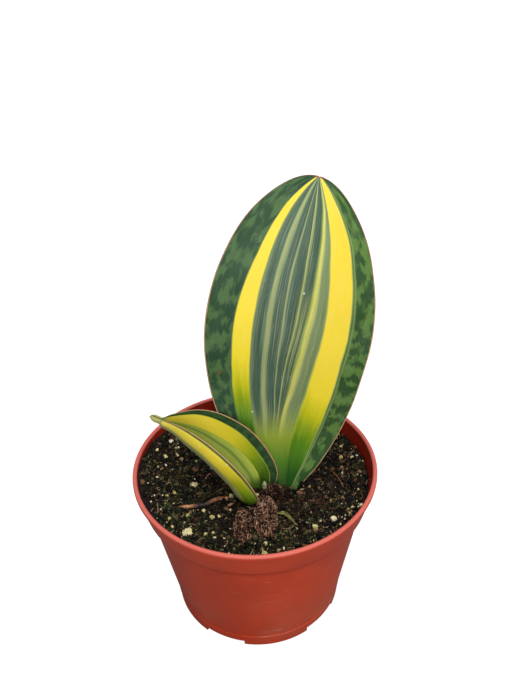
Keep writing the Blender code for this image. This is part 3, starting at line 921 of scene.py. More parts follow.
    def mark(self, n: Nodes, colour: Socket, across: Socket, along: Socket) -> Socket:
        """Add the dry margin, the hard tip, small brown specks and a little bloom.

        Args:
            n: The material's nodes.
            colour: The colour so far.
            across: The share of the half width's socket.
            along: The share of the length's socket.

        Returns:
            The new colour's socket.
        """
        dust = n.noise(n.place(), 75.0, 4.0, 0.7)
        fine = n.noise(n.place(), 1600.0, 2.0, 0.6)
        bloomed = n.math("MULTIPLY", n.step(dust, 0.50, 0.80), n.step(fine, 0.40, 0.72))
        colour = n.glaze(colour, bloomed, self.bloom, "d0d8cc")
        spots = n.add("ShaderNodeTexVoronoi", {"Scale": 62.0}, {"Vector": n.place()}).outputs["Distance"]
        rare = n.step(n.noise(n.place(), 41.0, 1.0), 0.63, 0.66)
        speck = n.math("MULTIPLY", n.step(spots, 0.10, 0.05), rare)
        colour = n.glaze(colour, speck, 0.75, "7b4a22")
        chalk = n.add("ShaderNodeTexVoronoi", {"Scale": 130.0}, {"Vector": n.place()})
        pick = n.add("ShaderNodeSeparateColor", {}, {0: chalk.outputs["Color"]}).outputs[0]
        dot = n.math("MULTIPLY", n.step(chalk.outputs["Distance"], 0.09, 0.05), n.step(pick, 0.90, 0.92))
        colour = n.glaze(colour, dot, 0.7, "dfe6df")
        margin = n.mix(n.step(along, 0.55, 0.95), self.margin_low, self.margin_high)
        uneven = n.noise(n.place(), 300.0, 2.0)
        margin = n.glaze(margin, n.step(uneven, 0.4, 0.7), 0.35, "7c4a38")
        colour = n.mix(n.step(n.math("ABSOLUTE", across), 0.992, 0.999), colour, margin)
        return n.mix(n.step(along, self.tip_from - self.tip_fade, self.tip_from + 0.002), colour, self.tip)


@dataclass
class Leaf:
    """A blade whose midrib is a cubic curve and whose halves curl as arcs of a circle."""

    name: str
    node: str
    midrib: list[tuple[float, float, float]]
    side: tuple[float, float, float]
    half_width: float
    knots: list[float]
    widths: list[float]
    roll: list[float]
    slope: list[float]
    near: list[float]
    far: list[float]
    pattern: LeafPattern
    guide_knots: list[float] = field(default_factory=list)
    guides: dict[float, list[float]] = field(default_factory=dict)
    buried: float = 0.085
    thickness: float = 0.0021
    margin: float = 0.0006
    tip_width: float = 0.0006
    beak: float = 0.0
    blunt: bool = False
    rows: int = 250
    columns: int = 101

    def spine(self, u: np.ndarray) -> tuple[np.ndarray, np.ndarray]:
        """The midrib: a cubic Bezier curve through its first and last points.

        Args:
            u: Shares of the length.

        Returns:
            Points and unit tangents.
        """
        a, b, c, d = (np.array(point) for point in self.midrib)
        u = u[:, None]
        w = 1 - u
        points = w ** 3 * a + 3 * w * w * u * b + 3 * w * u * u * c + u ** 3 * d
        along = w * w * (b - a) + 2 * w * u * (c - b) + u * u * (d - c)
        return points, along / np.linalg.norm(along, axis=1, keepdims=True)

    def half_widths(self, u: np.ndarray) -> np.ndarray:
        """Half the blade's width, which on a blunt leaf falls to the tip as a square root does.

        Args:
            u: Shares of the length.

        Returns:
            Lengths in metres.
        """
        if not self.blunt:
            ends = np.sqrt(np.clip((1.0 - u) / 0.02, 0.0, 1.0))
            return np.maximum(smooth_curve(self.knots, self.widths, u) * self.half_width,
                              self.tip_width * ends + 0.0001)
        fall = np.sqrt(np.maximum(1 - np.array(self.knots), 0))
        ratio = np.array(self.widths)[:-1] / fall[:-1]
        ratio = np.append(ratio, 2 * ratio[-1] - ratio[-2])
        share = smooth_curve(self.knots, ratio, u) * np.sqrt(np.maximum(1 - u, 0))
        return np.maximum(share * self.half_width, self.tip_width)

    def face(self, u: np.ndarray, v: np.ndarray) -> np.ndarray:
        """The blade's front face on a grid.

        Each half starts at a slope to the blade's plane and curls through a further angle
        by its margin, so its section is an arc of a circle.

        Args:
            u: Shares of the length, for the rows.
            v: From -1 at the left margin to 1 at the right, for the columns.

        Returns:
            Points by row, column and axis.
        """
        points, along = self.spine(u)
        side = np.array(self.side, float)
        flat = side - (along @ side)[:, None] * along
        flat /= np.linalg.norm(flat, axis=1, keepdims=True)
        out = np.cross(flat, along)
        roll = np.polyval(self.roll[::-1], u)[:, None]
        across = np.cos(roll) * flat + np.sin(roll) * out
        up = np.cos(roll) * out - np.sin(roll) * flat
        start = np.polyval(self.slope[::-1], u)[:, None]
        reach, left = np.abs(v)[None, :], v[None, :] < 0
        curl = np.where(left, np.maximum(np.polyval(self.near[:2][::-1], u), 0.02)[:, None],
                        np.maximum(np.polyval(self.far[:2][::-1], u), 0.02)[:, None])
        size = self.half_widths(u)[:, None]
        size = size * np.where(left, np.polyval(self.near[2:][::-1], u)[:, None], 1.0)
        go = (np.sin(start + curl * reach) - np.sin(start)) / curl * np.sign(v)[None, :]
        rise = (np.cos(start) - np.cos(start + curl * reach)) / curl
        return (points[:, None] + (size * go)[..., None] * across[:, None]
                + (size * rise)[..., None] * up[:, None])

    def strands(self, u: np.ndarray, v: np.ndarray) -> np.ndarray:
        """The strand number: straight lines between guides, which drift along the leaf.

        Args:
            u: Shares of the length, one for each point.
            v: Shares of the half width, one for each point.

        Returns:
            The strand number of each point.
        """
        if not self.guides:
            return v
        names = sorted(self.guides)
        places = np.stack([smooth_curve(self.guide_knots, self.guides[key], u) for key in names], -1)
        edges = np.ones(u.shape + (1,))
        places = np.concatenate([-edges, places, edges], -1)
        values = np.array([-1.0] + names + [1.0])
        result = np.zeros(u.shape)
        for k in range(len(values) - 1):
            low, high = places[..., k], places[..., k + 1]
            share = np.clip((v - low) / np.maximum(high - low, 1e-4), 0, 1)
            result += share * (values[k + 1] - values[k])
        return result - 1.0

    def build(self) -> None:
        """Build the blade: a front and a back sheet that meet in rounded margins."""
        t = np.linspace(0, 1, self.rows)
        u = -self.buried + (1 + self.buried) * (1 - (1 - t) ** 1.4)
        v = np.sin(np.linspace(-1, 1, self.columns) * math.pi / 2)
        v = 0.35 * v + 0.65 * np.linspace(-1, 1, self.columns)
        front = self.face(u, v)
        crosswise = np.gradient(front, axis=1)
        crosswise /= np.linalg.norm(crosswise, axis=-1, keepdims=True) + 1e-12
        normal = np.cross(np.gradient(front, axis=0), crosswise)
        normal /= np.linalg.norm(normal, axis=-1, keepdims=True) + 1e-12
        size = self.half_widths(u)
        slim = np.clip((size + 0.0008) / 0.006, 0.0, 1.0)[:, None]
        thick = (self.margin + (self.thickness - self.margin) * (1 - v ** 4)[None]) * slim
        horn = self.beak * smoothstep(0.80, 0.95, u) * np.sqrt(np.clip((1 - u) / 0.03, 0.05, 1.0))
        thick = np.maximum(thick, 0.0005) + horn[:, None] * (1 - v ** 2)[None]
        # gentle waves across the blade, strongest half way to the margins
        spots = np.broadcast_arrays(u[:, None] * 6, v[None] * 1.5, 0.5 + 0 * u[:, None])
        wave = layered_noise(np.stack(spots, -1), 5, 2)
        front = front + normal * (wave * 0.0004 * (1 - v ** 8)[None] * slim)[..., None]
        back = front + normal * thick[..., None]
        bends = np.linspace(0, math.pi, 7)[1:-1]
        arcs = []
        for edge, sign in ((-1, 1), (0, -1)):
            middle = (front[:, edge] + back[:, edge]) / 2
            half = (front[:, edge] - back[:, edge]) / 2
            reach = np.linalg.norm(half, axis=1, keepdims=True) * crosswise[:, edge] * sign
            arc = [middle + half * math.cos(b) + reach * math.sin(b) for b in bends]
            arcs.append(np.stack(arc, 1))
        right, left = arcs
        rings = np.concatenate([front, right, back[:, ::-1], left[:, ::-1]], 1)
        beyond = np.full(len(bends), 1.0)
        across = np.concatenate([v, beyond, v[::-1], -beyond])
        points, faces = closed_loft(rings)
        u_grid, v_grid = np.meshgrid(u, across, indexing="ij")
        strand = self.strands(u_grid, v_grid)
        ends = [u[0], u[-1]]
        numbers = {"strand": np.append(strand.ravel(), [0, 0]), "along": np.append(u_grid.ravel(), ends),
                   "across": np.append(v_grid.ravel(), [0, 0])}
        mesh = facing_out(build_mesh(self.name, points, faces, numbers))
        add_piece(self.name, mesh, self.pattern.build(), (self.node,))


# ------------------------------------------------------------------ the growing mix


@dataclass(frozen=True)
class Earthy:
    """A dull plant-based material: dark damp peat, dead fibre, bark or moss, told apart by colour."""

    name: str
    stops: list[tuple[float, str]]
    grain: float = 900.0
    gloss: float = 0.85
    relief: float = 0.0003
    shine: float = 0.12

    def build(self) -> bpy.types.Material:
        """Make the material; each bit's own tint picks its colour, and noise breaks it up.

        Returns:
            The finished material.
        """
        n = Nodes(self.name)
        own = n.attribute("tint")
        spread = n.noise(n.place(), self.grain, 3.0, 0.6)
        value = n.math("ADD", own, n.math("MULTIPLY_ADD", spread, 0.8, -0.4), clamp=True)
        colour = n.ramp(value, self.stops)
        damp = n.add("ShaderNodeMapRange", {"To Min": self.gloss - 0.22, "To Max": self.gloss},
                     {0: n.noise(n.place(), 150.0, 2.0)}).outputs[0]
        rough = n.bump(n.noise(n.place(), self.grain * 1.7, 3.0, 0.65), 0.7, self.relief)
        return n.finish(colour, damp, rough, specular=self.shine)


def random_turns(rng: np.random.Generator, count: int) -> np.ndarray:
    """Random rotations, even over all directions, from random unit quaternions.

    Args:
        rng: The random numbers.
        count: How many rotations.

    Returns:
        A 3 by 3 matrix for each.
    """
    q = rng.normal(size=(count, 4))
    w, x, y, z = (q / np.linalg.norm(q, axis=1, keepdims=True)).T
    rows = [[1 - 2 * (y * y + z * z), 2 * (x * y - z * w), 2 * (x * z + y * w)],
            [2 * (x * y + z * w), 1 - 2 * (x * x + z * z), 2 * (y * z - x * w)],
            [2 * (x * z - y * w), 2 * (y * z + x * w), 1 - 2 * (x * x + y * y)]]
    return np.moveaxis(np.array(rows), -1, 0)


def pebbles(rng: np.random.Generator, centres: np.ndarray, sizes: np.ndarray, level: int = 1,
            knobbly: float = 0.35,
            turns: np.ndarray | None = None) -> tuple[np.ndarray, np.ndarray, np.ndarray]:
    """Many lumpy little stones as one set of points and faces.

    Args:
        rng: The random numbers.
        centres: Their middles, one row each.
        sizes: Their three half sizes, one row each.
        level: How finely each is split.
        knobbly: How uneven they are.
        turns: Their rotations, or None for random ones.

    Returns:
        The points, the triangles, and the stone that each point belongs to.
    """
    ball, triangles = rough_ball(level)
    count = len(centres)
    turns = random_turns(rng, count) if turns is None else turns
    offset = rng.uniform(-40, 40, (count, 1, 3))
    swell = 1 + knobbly * layered_noise(ball[None] * 1.4 + offset, 3, 1 + level)
    local = ball[None] * swell[..., None] * sizes[:, None]
    points = np.einsum("nij,nvj->nvi", turns, local) + centres[:, None]
    faces = triangles[None] + (np.arange(count) * len(ball))[:, None, None]
    return points.reshape(-1, 3), faces.reshape(-1, 3), np.repeat(np.arange(count), len(ball))


def threads(paths: np.ndarray, radii: np.ndarray, sides: int = 4,
            flat: float = 1.0) -> tuple[np.ndarray, list[np.ndarray], np.ndarray]:
    """Many thin tubes as one set of points and faces, each closed at both ends.

    Args:
        paths: Points by tube, place along it, and axis.
        radii: Radius by tube and place.
        sides: Corners of the section.
        flat: Thickness of the section as a share of its width.

    Returns:
        The points, the faces, and the tube that each point belongs to.
    """
    count, length, _ = paths.shape
    along = np.gradient(paths, axis=1)
    along /= np.linalg.norm(along, axis=-1, keepdims=True) + 1e-12
    guide = np.array([0.31, 0.17, 0.93])
    side = np.cross(along, guide)
    side /= np.linalg.norm(side, axis=-1, keepdims=True) + 1e-12
    up = np.cross(along, side)
    angle = np.arange(sides) / sides * math.tau
    ring = (np.cos(angle)[:, None] * side[:, :, None] + flat * np.sin(angle)[:, None] * up[:, :, None])
    body = paths[:, :, None] + radii[:, :, None, None] * ring
    each = length * sides + 2
    points = np.concatenate([body.reshape(count, -1, 3), paths[:, :1], paths[:, -1:]], 1)
    start = (np.arange(count) * each)[:, None, None]
    first, last = np.arange(sides), (length - 1) * sides + np.arange(sides)
    quads = grid_faces(length, sides, True)[None] + start
    caps = np.concatenate([cap_faces(first, each - 2, True), cap_faces(last, each - 1, False)])[None] + start
    faces = [quads.reshape(-1, 4), caps.reshape(-1, 3)]
    return points.reshape(-1, 3), faces, np.repeat(np.arange(count), each)


def curly_paths(rng: np.random.Generator, starts: np.ndarray, headings: np.ndarray, lengths: np.ndarray,
                steps: int = 9, curl: float = 0.9) -> np.ndarray:
    """Wandering lines: each step keeps most of the last heading and adds a random turn.

    Args:
        rng: The random numbers.
        starts: First points.
        headings: First directions.
        lengths: Lengths in metres.
        steps: How many steps each takes.
        curl: How strongly it turns.

    Returns:
        Points by line, place along it, and axis.
    """
    heading = headings / np.linalg.norm(headings, axis=1, keepdims=True)
    bend = rng.normal(size=heading.shape)
    places = [starts]
    for _ in range(steps):
        bend = 0.6 * bend + 0.8 * rng.normal(size=heading.shape)
        heading = heading + curl * 0.35 * bend
        heading /= np.linalg.norm(heading, axis=1, keepdims=True)
        places.append(places[-1] + heading * (lengths / steps)[:, None])
    return np.stack(places, 1)


@dataclass
class GrowingMix:
    """The peat mix: its surface's height everywhere, and what is strewn over it."""

    level: float = 0.0966
    radius: float = 0.0720
    back_rise: float = 0.0045
    rise_turn: float = math.radians(150)
    side_rise: float = 0.0060
    side_turn: float = math.radians(198)
    flare: float = 0.208
    hollow: tuple[float, float, float, float] = (0.0200, -0.0150, 0.0082, 0.0095)
    heap: tuple[float, float, float, float] = (0.0340, -0.0290, 0.0120, 0.0030)
    seed: int = 11
    rings: int = 170
    steps: int = 440

    def bed(self, x: np.ndarray, y: np.ndarray) -> np.ndarray:
        """The surface without its lumps, banked up against the wall behind on the left.

        Args:
            x: Places to the right.
            y: Places behind.

        Returns:
            Heights.
        """
        reach = np.minimum(np.hypot(x, y) / self.radius, 1)
        facing = np.maximum(0, np.cos(np.arctan2(y, x) - self.rise_turn))
        beside = np.maximum(0, np.cos(np.arctan2(y, x) - self.side_turn))
        swells = [size * np.exp(-((x - across) ** 2 + (y - behind) ** 2) / wide ** 2)
                  for across, behind, wide, size in (self.heap, self.hollow)]
        return (self.level + self.back_rise * facing ** 2 * reach ** 3
                + self.side_rise * beside ** 3 * reach ** 5 + swells[0] - swells[1])

    def height(self, x: np.ndarray, y: np.ndarray) -> np.ndarray:
        """The surface with lumps of three sizes, creased where they meet.

        Args:
            x: Places to the right.
            y: Places behind.

        Returns:
            Heights.
        """
        flat = np.stack([x, y, 0 * x], -1)
        broad = layered_noise(flat / 0.014, self.seed, 2)
        lumps = 1 - 2 * np.abs(layered_noise(flat / 0.0052 + 9, self.seed + 5, 2))
        bits = 1 - 2 * np.abs(lattice_noise(flat / 0.0021 + 4, self.seed + 9))
        grit = layered_noise(flat / 0.0009, self.seed + 13, 2)
        relief = 0.0013 * broad + 0.0012 * lumps + 0.0008 * bits + 0.0003 * grit
        edge = smoothstep(0.999, 0.955, np.hypot(x, y) / self.radius)
        return self.bed(x, y) + relief * (0.35 + 0.65 * edge) - 0.0005 * (1 - edge)

    def scatter(self, rng: np.random.Generator, count: int, inner: float = 0.0,
                outer: float = 0.985) -> np.ndarray:
        """Random places on the surface, even over its area.

        Args:
            rng: The random numbers.
            count: How many places.
            inner: Least share of the radius.
            outer: Greatest share of the radius.

        Returns:
            One row each.
        """
        reach = self.radius * np.sqrt(rng.uniform(inner ** 2, outer ** 2, count))
        angle = rng.uniform(0, math.tau, count)
        x, y = reach * np.cos(angle), reach * np.sin(angle)
        return np.stack([x, y, self.height(x, y)], -1)

    def greenness(self, points: np.ndarray) -> np.ndarray:
        """How mossy a place is: most at the left and the front, in patches.

        Args:
            points: Places on the surface.

        Returns:
            From zero to one.
        """
        patch = layered_noise(points[:, :3] * (1, 1, 0) / 0.016 + 3, 77, 3)
        lean = -0.5 * points[:, 0] / self.radius - 0.5 * points[:, 1] / self.radius
        return smoothstep(-0.35, 0.75, patch * 0.8 + lean)

    def build(self) -> None:
        """Build the bed of mix and everything small that lies on it."""
        self.build_bed()
        self.build_crumbs()
        self.build_moss()
        self.build_fibres()
        self.build_grit()

    def build_bed(self) -> None:
        """Build the mix itself, filling the pot."""
        angle = np.arange(self.steps) / self.steps * math.tau
        share = np.sin(np.linspace(1, 0.012, self.rings) * math.pi / 2)
        reach = self.radius * share
        x, y = reach[:, None] * np.cos(angle), reach[:, None] * np.sin(angle)
        z = self.height(x, y)
        # the wall leans out, so mix that is banked up against it reaches further
        spread = 1 + self.flare * (self.bed(x, y) - self.level) / self.radius * share[:, None] ** 8
        top = np.stack([x * spread, y * spread, z], -1)
        # radius and height of the rings that follow the pot's floor and wall from inside
        below = [(0.002, 0.0052), (0.0525, 0.0052), (0.0545, 0.0100), (0.0674, 0.0868), (0.0700, 0.0885)]
        sides = []
        for radius, z in below:
            ring = np.stack([radius * np.cos(angle), radius * np.sin(angle), np.full(self.steps, z)], -1)
            sides.append(ring)
        points, faces = closed_loft(np.concatenate([np.array(sides), top]))
        tint = 0.30 + 0.30 * layered_noise(points / 0.006, 31, 3)
        mesh = facing_out(build_mesh("growing_mix", points, faces, {"tint": tint}))
        damp_peat = Earthy("damp_peat", [(0.0, "050403"), (0.35, "0f0b08"), (0.6, "1c140e"),
                                         (0.8, "352618"), (1.0, "54402c")], grain=700.0)
        add_piece("growing_mix", mesh, damp_peat.build(), ("soil",))

    def build_crumbs(self) -> None:
        """Build the crumbs of peat: brown and nearly black ones, many small and a few large."""
        brown = Earthy("brown_crumb", [(0.0, "0d0806"), (0.3, "21150e"), (0.55, "3f2a1c"),
                                       (0.8, "664831"), (1.0, "93744f")], grain=800.0).build()
        black = Earthy("black_crumb", [(0.0, "040403"), (0.35, "0e0c09"), (0.6, "1d1912"),
                                       (0.8, "353021"), (1.0, "5b553a")]).build()
        count = 2200
        sorts = (("brown_crumbs", brown, 0.00034, 0.0012), ("black_crumbs", black, 0.00040, 0.0014))
        for order, (name, finish, smallest, spread) in enumerate(sorts):
            rng = np.random.default_rng(self.seed + 20 + order)
            centres = self.scatter(rng, count)
            size = smallest + spread * rng.uniform(0, 1, count) ** 3.2
            shape = size[:, None] * rng.uniform(0.5, 1.35, (count, 3))
            centres[:, 2] += size * 0.35
            points, faces, owner = pebbles(rng, centres, shape, 1, 0.55)
            tint = rng.uniform(0.02, 0.85, count) ** 1.6 + 0.10 * smoothstep(-0.01, 0.05, centres[:, 0])
            tint[rng.uniform(0, 1, count) < 0.05] = 0.95
            mesh = facing_out(build_mesh(name, points, [faces], {"tint": tint[owner]}))
            add_piece(name, mesh, finish)

    def strew(self, rng: np.random.Generator, centres: np.ndarray, lengths: np.ndarray,
              thick: tuple[float, float], curl: float,
              rise: float) -> tuple[np.ndarray, list[np.ndarray], np.ndarray]:
        """Threads that lie over the surface, thinning to their ends.

        Args:
            rng: The random numbers.
            centres: Where they start.
            lengths: Their lengths.
            thick: Least and greatest radius.
            curl: How strongly they wander.
            rise: The highest that they stand above the surface.

        Returns:
            The points, the faces, and the thread that each point belongs to.
        """
        count = len(centres)
        turn = rng.uniform(0, math.tau, count)
        heading = np.stack([np.cos(turn), np.sin(turn), rng.uniform(-0.2, 0.6, count)], -1)
        paths = curly_paths(rng, centres, heading, lengths, 5, curl)
        floor = self.height(paths[..., 0], paths[..., 1])
        lift = rng.uniform(0.0001, rise, (count, 1))
        paths[..., 2] = floor + lift + np.clip(0.5 * (paths[..., 2] - floor), -0.0003, rise)
        taper = (1 - np.linspace(-0.6, 0.85, 6) ** 2) ** 0.5
        radii = rng.uniform(*thick, (count, 1)) * taper[None]
        return threads(paths, radii, 4, 0.6)

    def build_moss(self) -> None:
        """Build the olive threads of moss and old sphagnum, thickest at the left and front."""
        bright = Earthy("moss_thread", [(0.0, "12140c"), (0.3, "262916"), (0.55, "424626"),
                                        (0.8, "6c6f40"), (1.0, "a0a36c")], grain=1100.0).build()
        dark = Earthy("old_sphagnum", [(0.0, "060705"), (0.35, "12140e"), (0.6, "24271a"),
                                       (0.85, "45472f"), (1.0, "74744e")], grain=1100.0).build()
        layers = (("moss_threads", bright, 0.04), ("old_moss_threads", dark, 0.35),
                  ("low_moss_threads", dark, 0.35))
        for order, (name, finish, few) in enumerate(layers):
            rng = np.random.default_rng(self.seed + 30 + order)
            centres = self.scatter(rng, 9000, outer=0.98)
            keep = rng.uniform(0, 1, 9000) < few + (1 - few) * self.greenness(centres)
            centres = centres[keep][:3000]
            lengths = rng.uniform(0.0012, 0.0046, len(centres))
            points, faces, owner = self.strew(rng, centres, lengths, (0.00014, 0.00036), 1.3, 0.0009)
            tint = np.clip(rng.normal(0.45, 0.22, len(centres)), 0, 1)
            mesh = facing_out(build_mesh(name, points, faces, {"tint": tint[owner]}))
            add_piece(name, mesh, finish)

    def build_fibres(self) -> None:
        """Build the brown and tan fibres of peat, short dark ones and long pale ones."""
        finish = Earthy("dead_fibre", [(0.0, "21140d"), (0.3, "462c1c"), (0.6, "795339"),
                                       (0.85, "a98364"), (1.0, "d2b491")], grain=1200.0).build()
        for order, (name, count, longest, paler) in enumerate((("short_fibres", 2600, 0.0040, 2.0),
                                                               ("long_fibres", 420, 0.0110, 1.0))):
            rng = np.random.default_rng(self.seed + 40 + order)
            centres = self.scatter(rng, count, outer=0.98)
            lengths = 0.0012 + (longest - 0.0012) * rng.uniform(0, 1, count) ** 2
            points, faces, owner = self.strew(rng, centres, lengths, (0.00009, 0.00028), 0.8, 0.0012)
            tint = rng.uniform(0, 1, count) ** paler
            mesh = facing_out(build_mesh(name, points, faces, {"tint": tint[owner]}))
            add_piece(name, mesh, finish)

    def build_grit(self) -> None:
        """Build the fines of perlite, more of them near the wall."""
        rng = np.random.default_rng(self.seed + 3)
        count = 400
        centres = np.concatenate([self.scatter(rng, 240), self.scatter(rng, count - 240, 0.72, 0.97)])
        size = 0.00021 + 0.00105 * rng.uniform(0, 1, count) ** 2.5
        centres[:, 2] += size * 0.5
        shape = size[:, None] * rng.uniform(0.75, 1.25, (count, 3))
        points, faces, owner = pebbles(rng, centres, shape, 1, 0.3)
        tint = rng.uniform(0.3, 1, count)
        mesh = facing_out(build_mesh("perlite_fines", points, [faces], {"tint": tint[owner]}))
        add_piece("perlite_fines", mesh, Perlite().material())


@dataclass(frozen=True)
class Perlite:
    """Expanded volcanic glass: pale popcorn-like grains, cracked, stained by the peat and a little algae."""

    name: str = "expanded_perlite"

    def material(self) -> bpy.types.Material:
        """Make the material.

        Returns:
            The finished material.
        """
        found = bpy.data.materials.get(self.name)
        if found:
            return found
        n = Nodes(self.name)
        own = n.attribute("tint")
        pale = n.ramp(own, [(0.0, "a0965c"), (0.3, "b8aa68"), (0.6, "ccbf88"), (0.85, "dccfa8"),
                            (1.0, "e6dbce")])
        grime = n.noise(n.place(), 900.0, 4.0, 0.65, 0.5)
        colour = n.glaze(pale, n.step(grime, 0.48, 0.68), 0.55, "63512c")
        pits = n.add("ShaderNodeTexVoronoi", {"Scale": 1500.0}, {"Vector": n.place()}).outputs["Distance"]
        colour = n.glaze(colour, n.step(pits, 0.32, 0.10), 0.45, "3c3020")
        cracked = n.bump(pits, 0.8, 0.0003, n.bump(grime, 0.6, 0.0004))
        return n.finish(colour, 0.82, cracked, specular=0.35)

    def build(self, rng: np.random.Generator, mix: GrowingMix) -> None:
        """Build each grain where the frame has it, standing proud of the lumps around it.

        Args:
            rng: The random numbers.
            mix: The growing mix they lie on.
        """
        for index in range(1, 17):
            node = f"perlite_{index:02d}"
            low, high = (np.array(corner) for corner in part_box(node))
            middle, half = (low + high) / 2, (high - low) / 2
            middle[2] = max(middle[2], float(mix.height(middle[0], middle[1])) + 0.5 * half[2])
            points, faces, _ = pebbles(rng, middle[None], half[None] * 0.92, 3, 0.38, np.eye(3)[None])
            pitted = layered_noise(points / 0.0009, 40 + index, 3)
            points = middle + (points - middle) * (1 + 0.16 * pitted[:, None])
            tint = np.full(len(points), rng.uniform(0.1, 0.75)) + 0.25 * pitted
            mesh = facing_out(build_mesh(node, points, [faces], {"tint": tint}))
            add_piece(f"{node}_grain", mesh, self.material(), (node,))


@dataclass
class FibreClump:
    """A matted knot of peat: a rough core wrapped in curly fibres."""

    node: str
    fibres: int
    tint: tuple[float, float]
    hair: float = 0.0034
    coarse: float = 0.00032
    core_tint: float = 0.0
    swell: float = 1.0
    core_size: float = 0.68
    core_relief: float = 0.24
    wrap: tuple[float, float] = (0.74, 1.02)

    def build(self, rng: np.random.Generator, finish: bpy.types.Material) -> None:
        """Build the clump where the frame has it.

        Args:
            rng: The random numbers.
            finish: Its material.
        """
        low, high = (np.array(corner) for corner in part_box(self.node))
        middle, half = (low + high) / 2, (high - low) / 2 * (1, 1, self.swell)
        ball, triangles = rough_ball(4)
        relief = layered_noise(ball * half / 0.0024, 60, 4)
        core = middle + ball * half * (self.core_size + self.core_relief * relief[:, None])
        seeds = random_turns(rng, self.fibres)[:, :, 0]
        seeds[:, 2] = np.abs(seeds[:, 2]) * 1.2 - 0.35
        seeds /= np.linalg.norm(seeds, axis=1, keepdims=True)
        around = np.cross(seeds, random_turns(rng, self.fibres)[:, :, 1])
        starts = middle + seeds * half * rng.uniform(0.78, 1.0, (self.fibres, 1))
        lengths = rng.uniform(0.35, 1.0, self.fibres) * self.hair
        headings = around + rng.uniform(-0.1, 0.7, (self.fibres, 1)) * seeds
        paths = curly_paths(rng, starts, headings, lengths, 6, 0.7)
        # fibres wrap the core: each point keeps near its surface
        out = (paths - middle) / half
        far = np.linalg.norm(out, axis=-1, keepdims=True)
        paths = middle + out / far * np.clip(far, *self.wrap) * half
        thick = rng.uniform(0.3, 1.0, (self.fibres, 1)) ** 1.5 * self.coarse
        thick = thick * (1 - np.linspace(-0.7, 0.85, 7) ** 2)[None] ** 0.5
        points, faces, owner = threads(paths, thick, 5, 0.55)
        faces = [group + len(core) for group in faces] + [triangles]
        darkest, palest = self.tint
        own = darkest + (palest - darkest) * rng.uniform(0, 1, self.fibres) ** 1.4
        tint = np.concatenate([np.full(len(core), self.core_tint) + 0.2 * relief, own[owner]])
        mesh = facing_out(build_mesh(self.node, np.concatenate([core, points]), faces, {"tint": tint}))
        add_piece(f"{self.node}_mat", mesh, finish, (self.node,))


# ------------------------------------------------------------------ litter on the mix


def root_route(mix: GrowingMix, lift: float) -> np.ndarray:
    """The line of the root that creeps over the surface from the small leaf's foot.

    Args:
        mix: The growing mix it lies on.
        lift: Its axis above the surface.

    Returns:
        Points along it.
    """
    foot = np.array([-0.0062, -0.0125])
    steps = np.array([(-0.0410, -0.0180), (-0.0330, -0.0168), (-0.0250, -0.0150), (-0.0195, -0.0117),
                      (-0.0140, -0.0098), (-0.0095, -0.0105), (-0.0060, -0.0128)])
    flat = smooth_curve(np.linspace(0, 1, len(steps)), foot + steps, np.linspace(0, 1, 140))
    turns = np.linspace(0, math.tau, 9)
    near = flat[:, None] + 0.0016 * np.column_stack([np.cos(turns), np.sin(turns)])
    lumps = mix.height(near[..., 0], near[..., 1]).max(1)
    crests = np.convolve(np.pad(lumps, 10, mode="edge"), np.ones(21) / 21, mode="valid")
    return np.column_stack([flat, crests + lift])


def build_surface_root(mix: GrowingMix) -> None:
    """Build the creeping root: knotty, wrinkled, banded dark and orange-brown.

    Args:
        mix: The growing mix it lies on.
    """
    path = root_route(mix, 0.0009)
    share = np.linspace(0, 1, len(path))
    knots = 0.16 * lattice_noise(np.column_stack([share * 26, 0 * share, 0 * share]), 5)
    radius = 0.00128 * (0.76 + 0.24 * np.sin(share * math.pi) + knots) * np.clip(share * 12, 0.35, 1)
    points, faces, _ = threads(path[None], radius[None], 14)
    wrinkle = layered_noise(points / 0.0011, 8, 3)
    middle = path[np.argmin(np.linalg.norm(points[:, None] - path[None], axis=-1), axis=1)]
    points = middle + (points - middle) * (1 + 0.14 * wrinkle[:, None])
    along = share[np.argmin(np.linalg.norm(points[:, None] - path[None], axis=-1), axis=1)]
    band = layered_noise(np.column_stack([along * 17, 0 * along, 0 * along]), 12, 2)
    tint = 0.56 + 0.42 * band + 0.16 * wrinkle - 0.42 * smoothstep(0.72, 0.86, along)
    mesh = facing_out(build_mesh("surface_root", points, faces, {"tint": np.clip(tint, 0, 1)}))
    skin = Earthy("root_skin", [(0.0, "1b1715"), (0.2, "3b312e"), (0.4, "5d4238"),
                                (0.65, "80523a"), (0.85, "9c6844"), (1.0, "b88c68")],
                  grain=1300.0, gloss=0.75)
    add_piece("surface_root_skin", mesh, skin.build(), ("surface_root",))


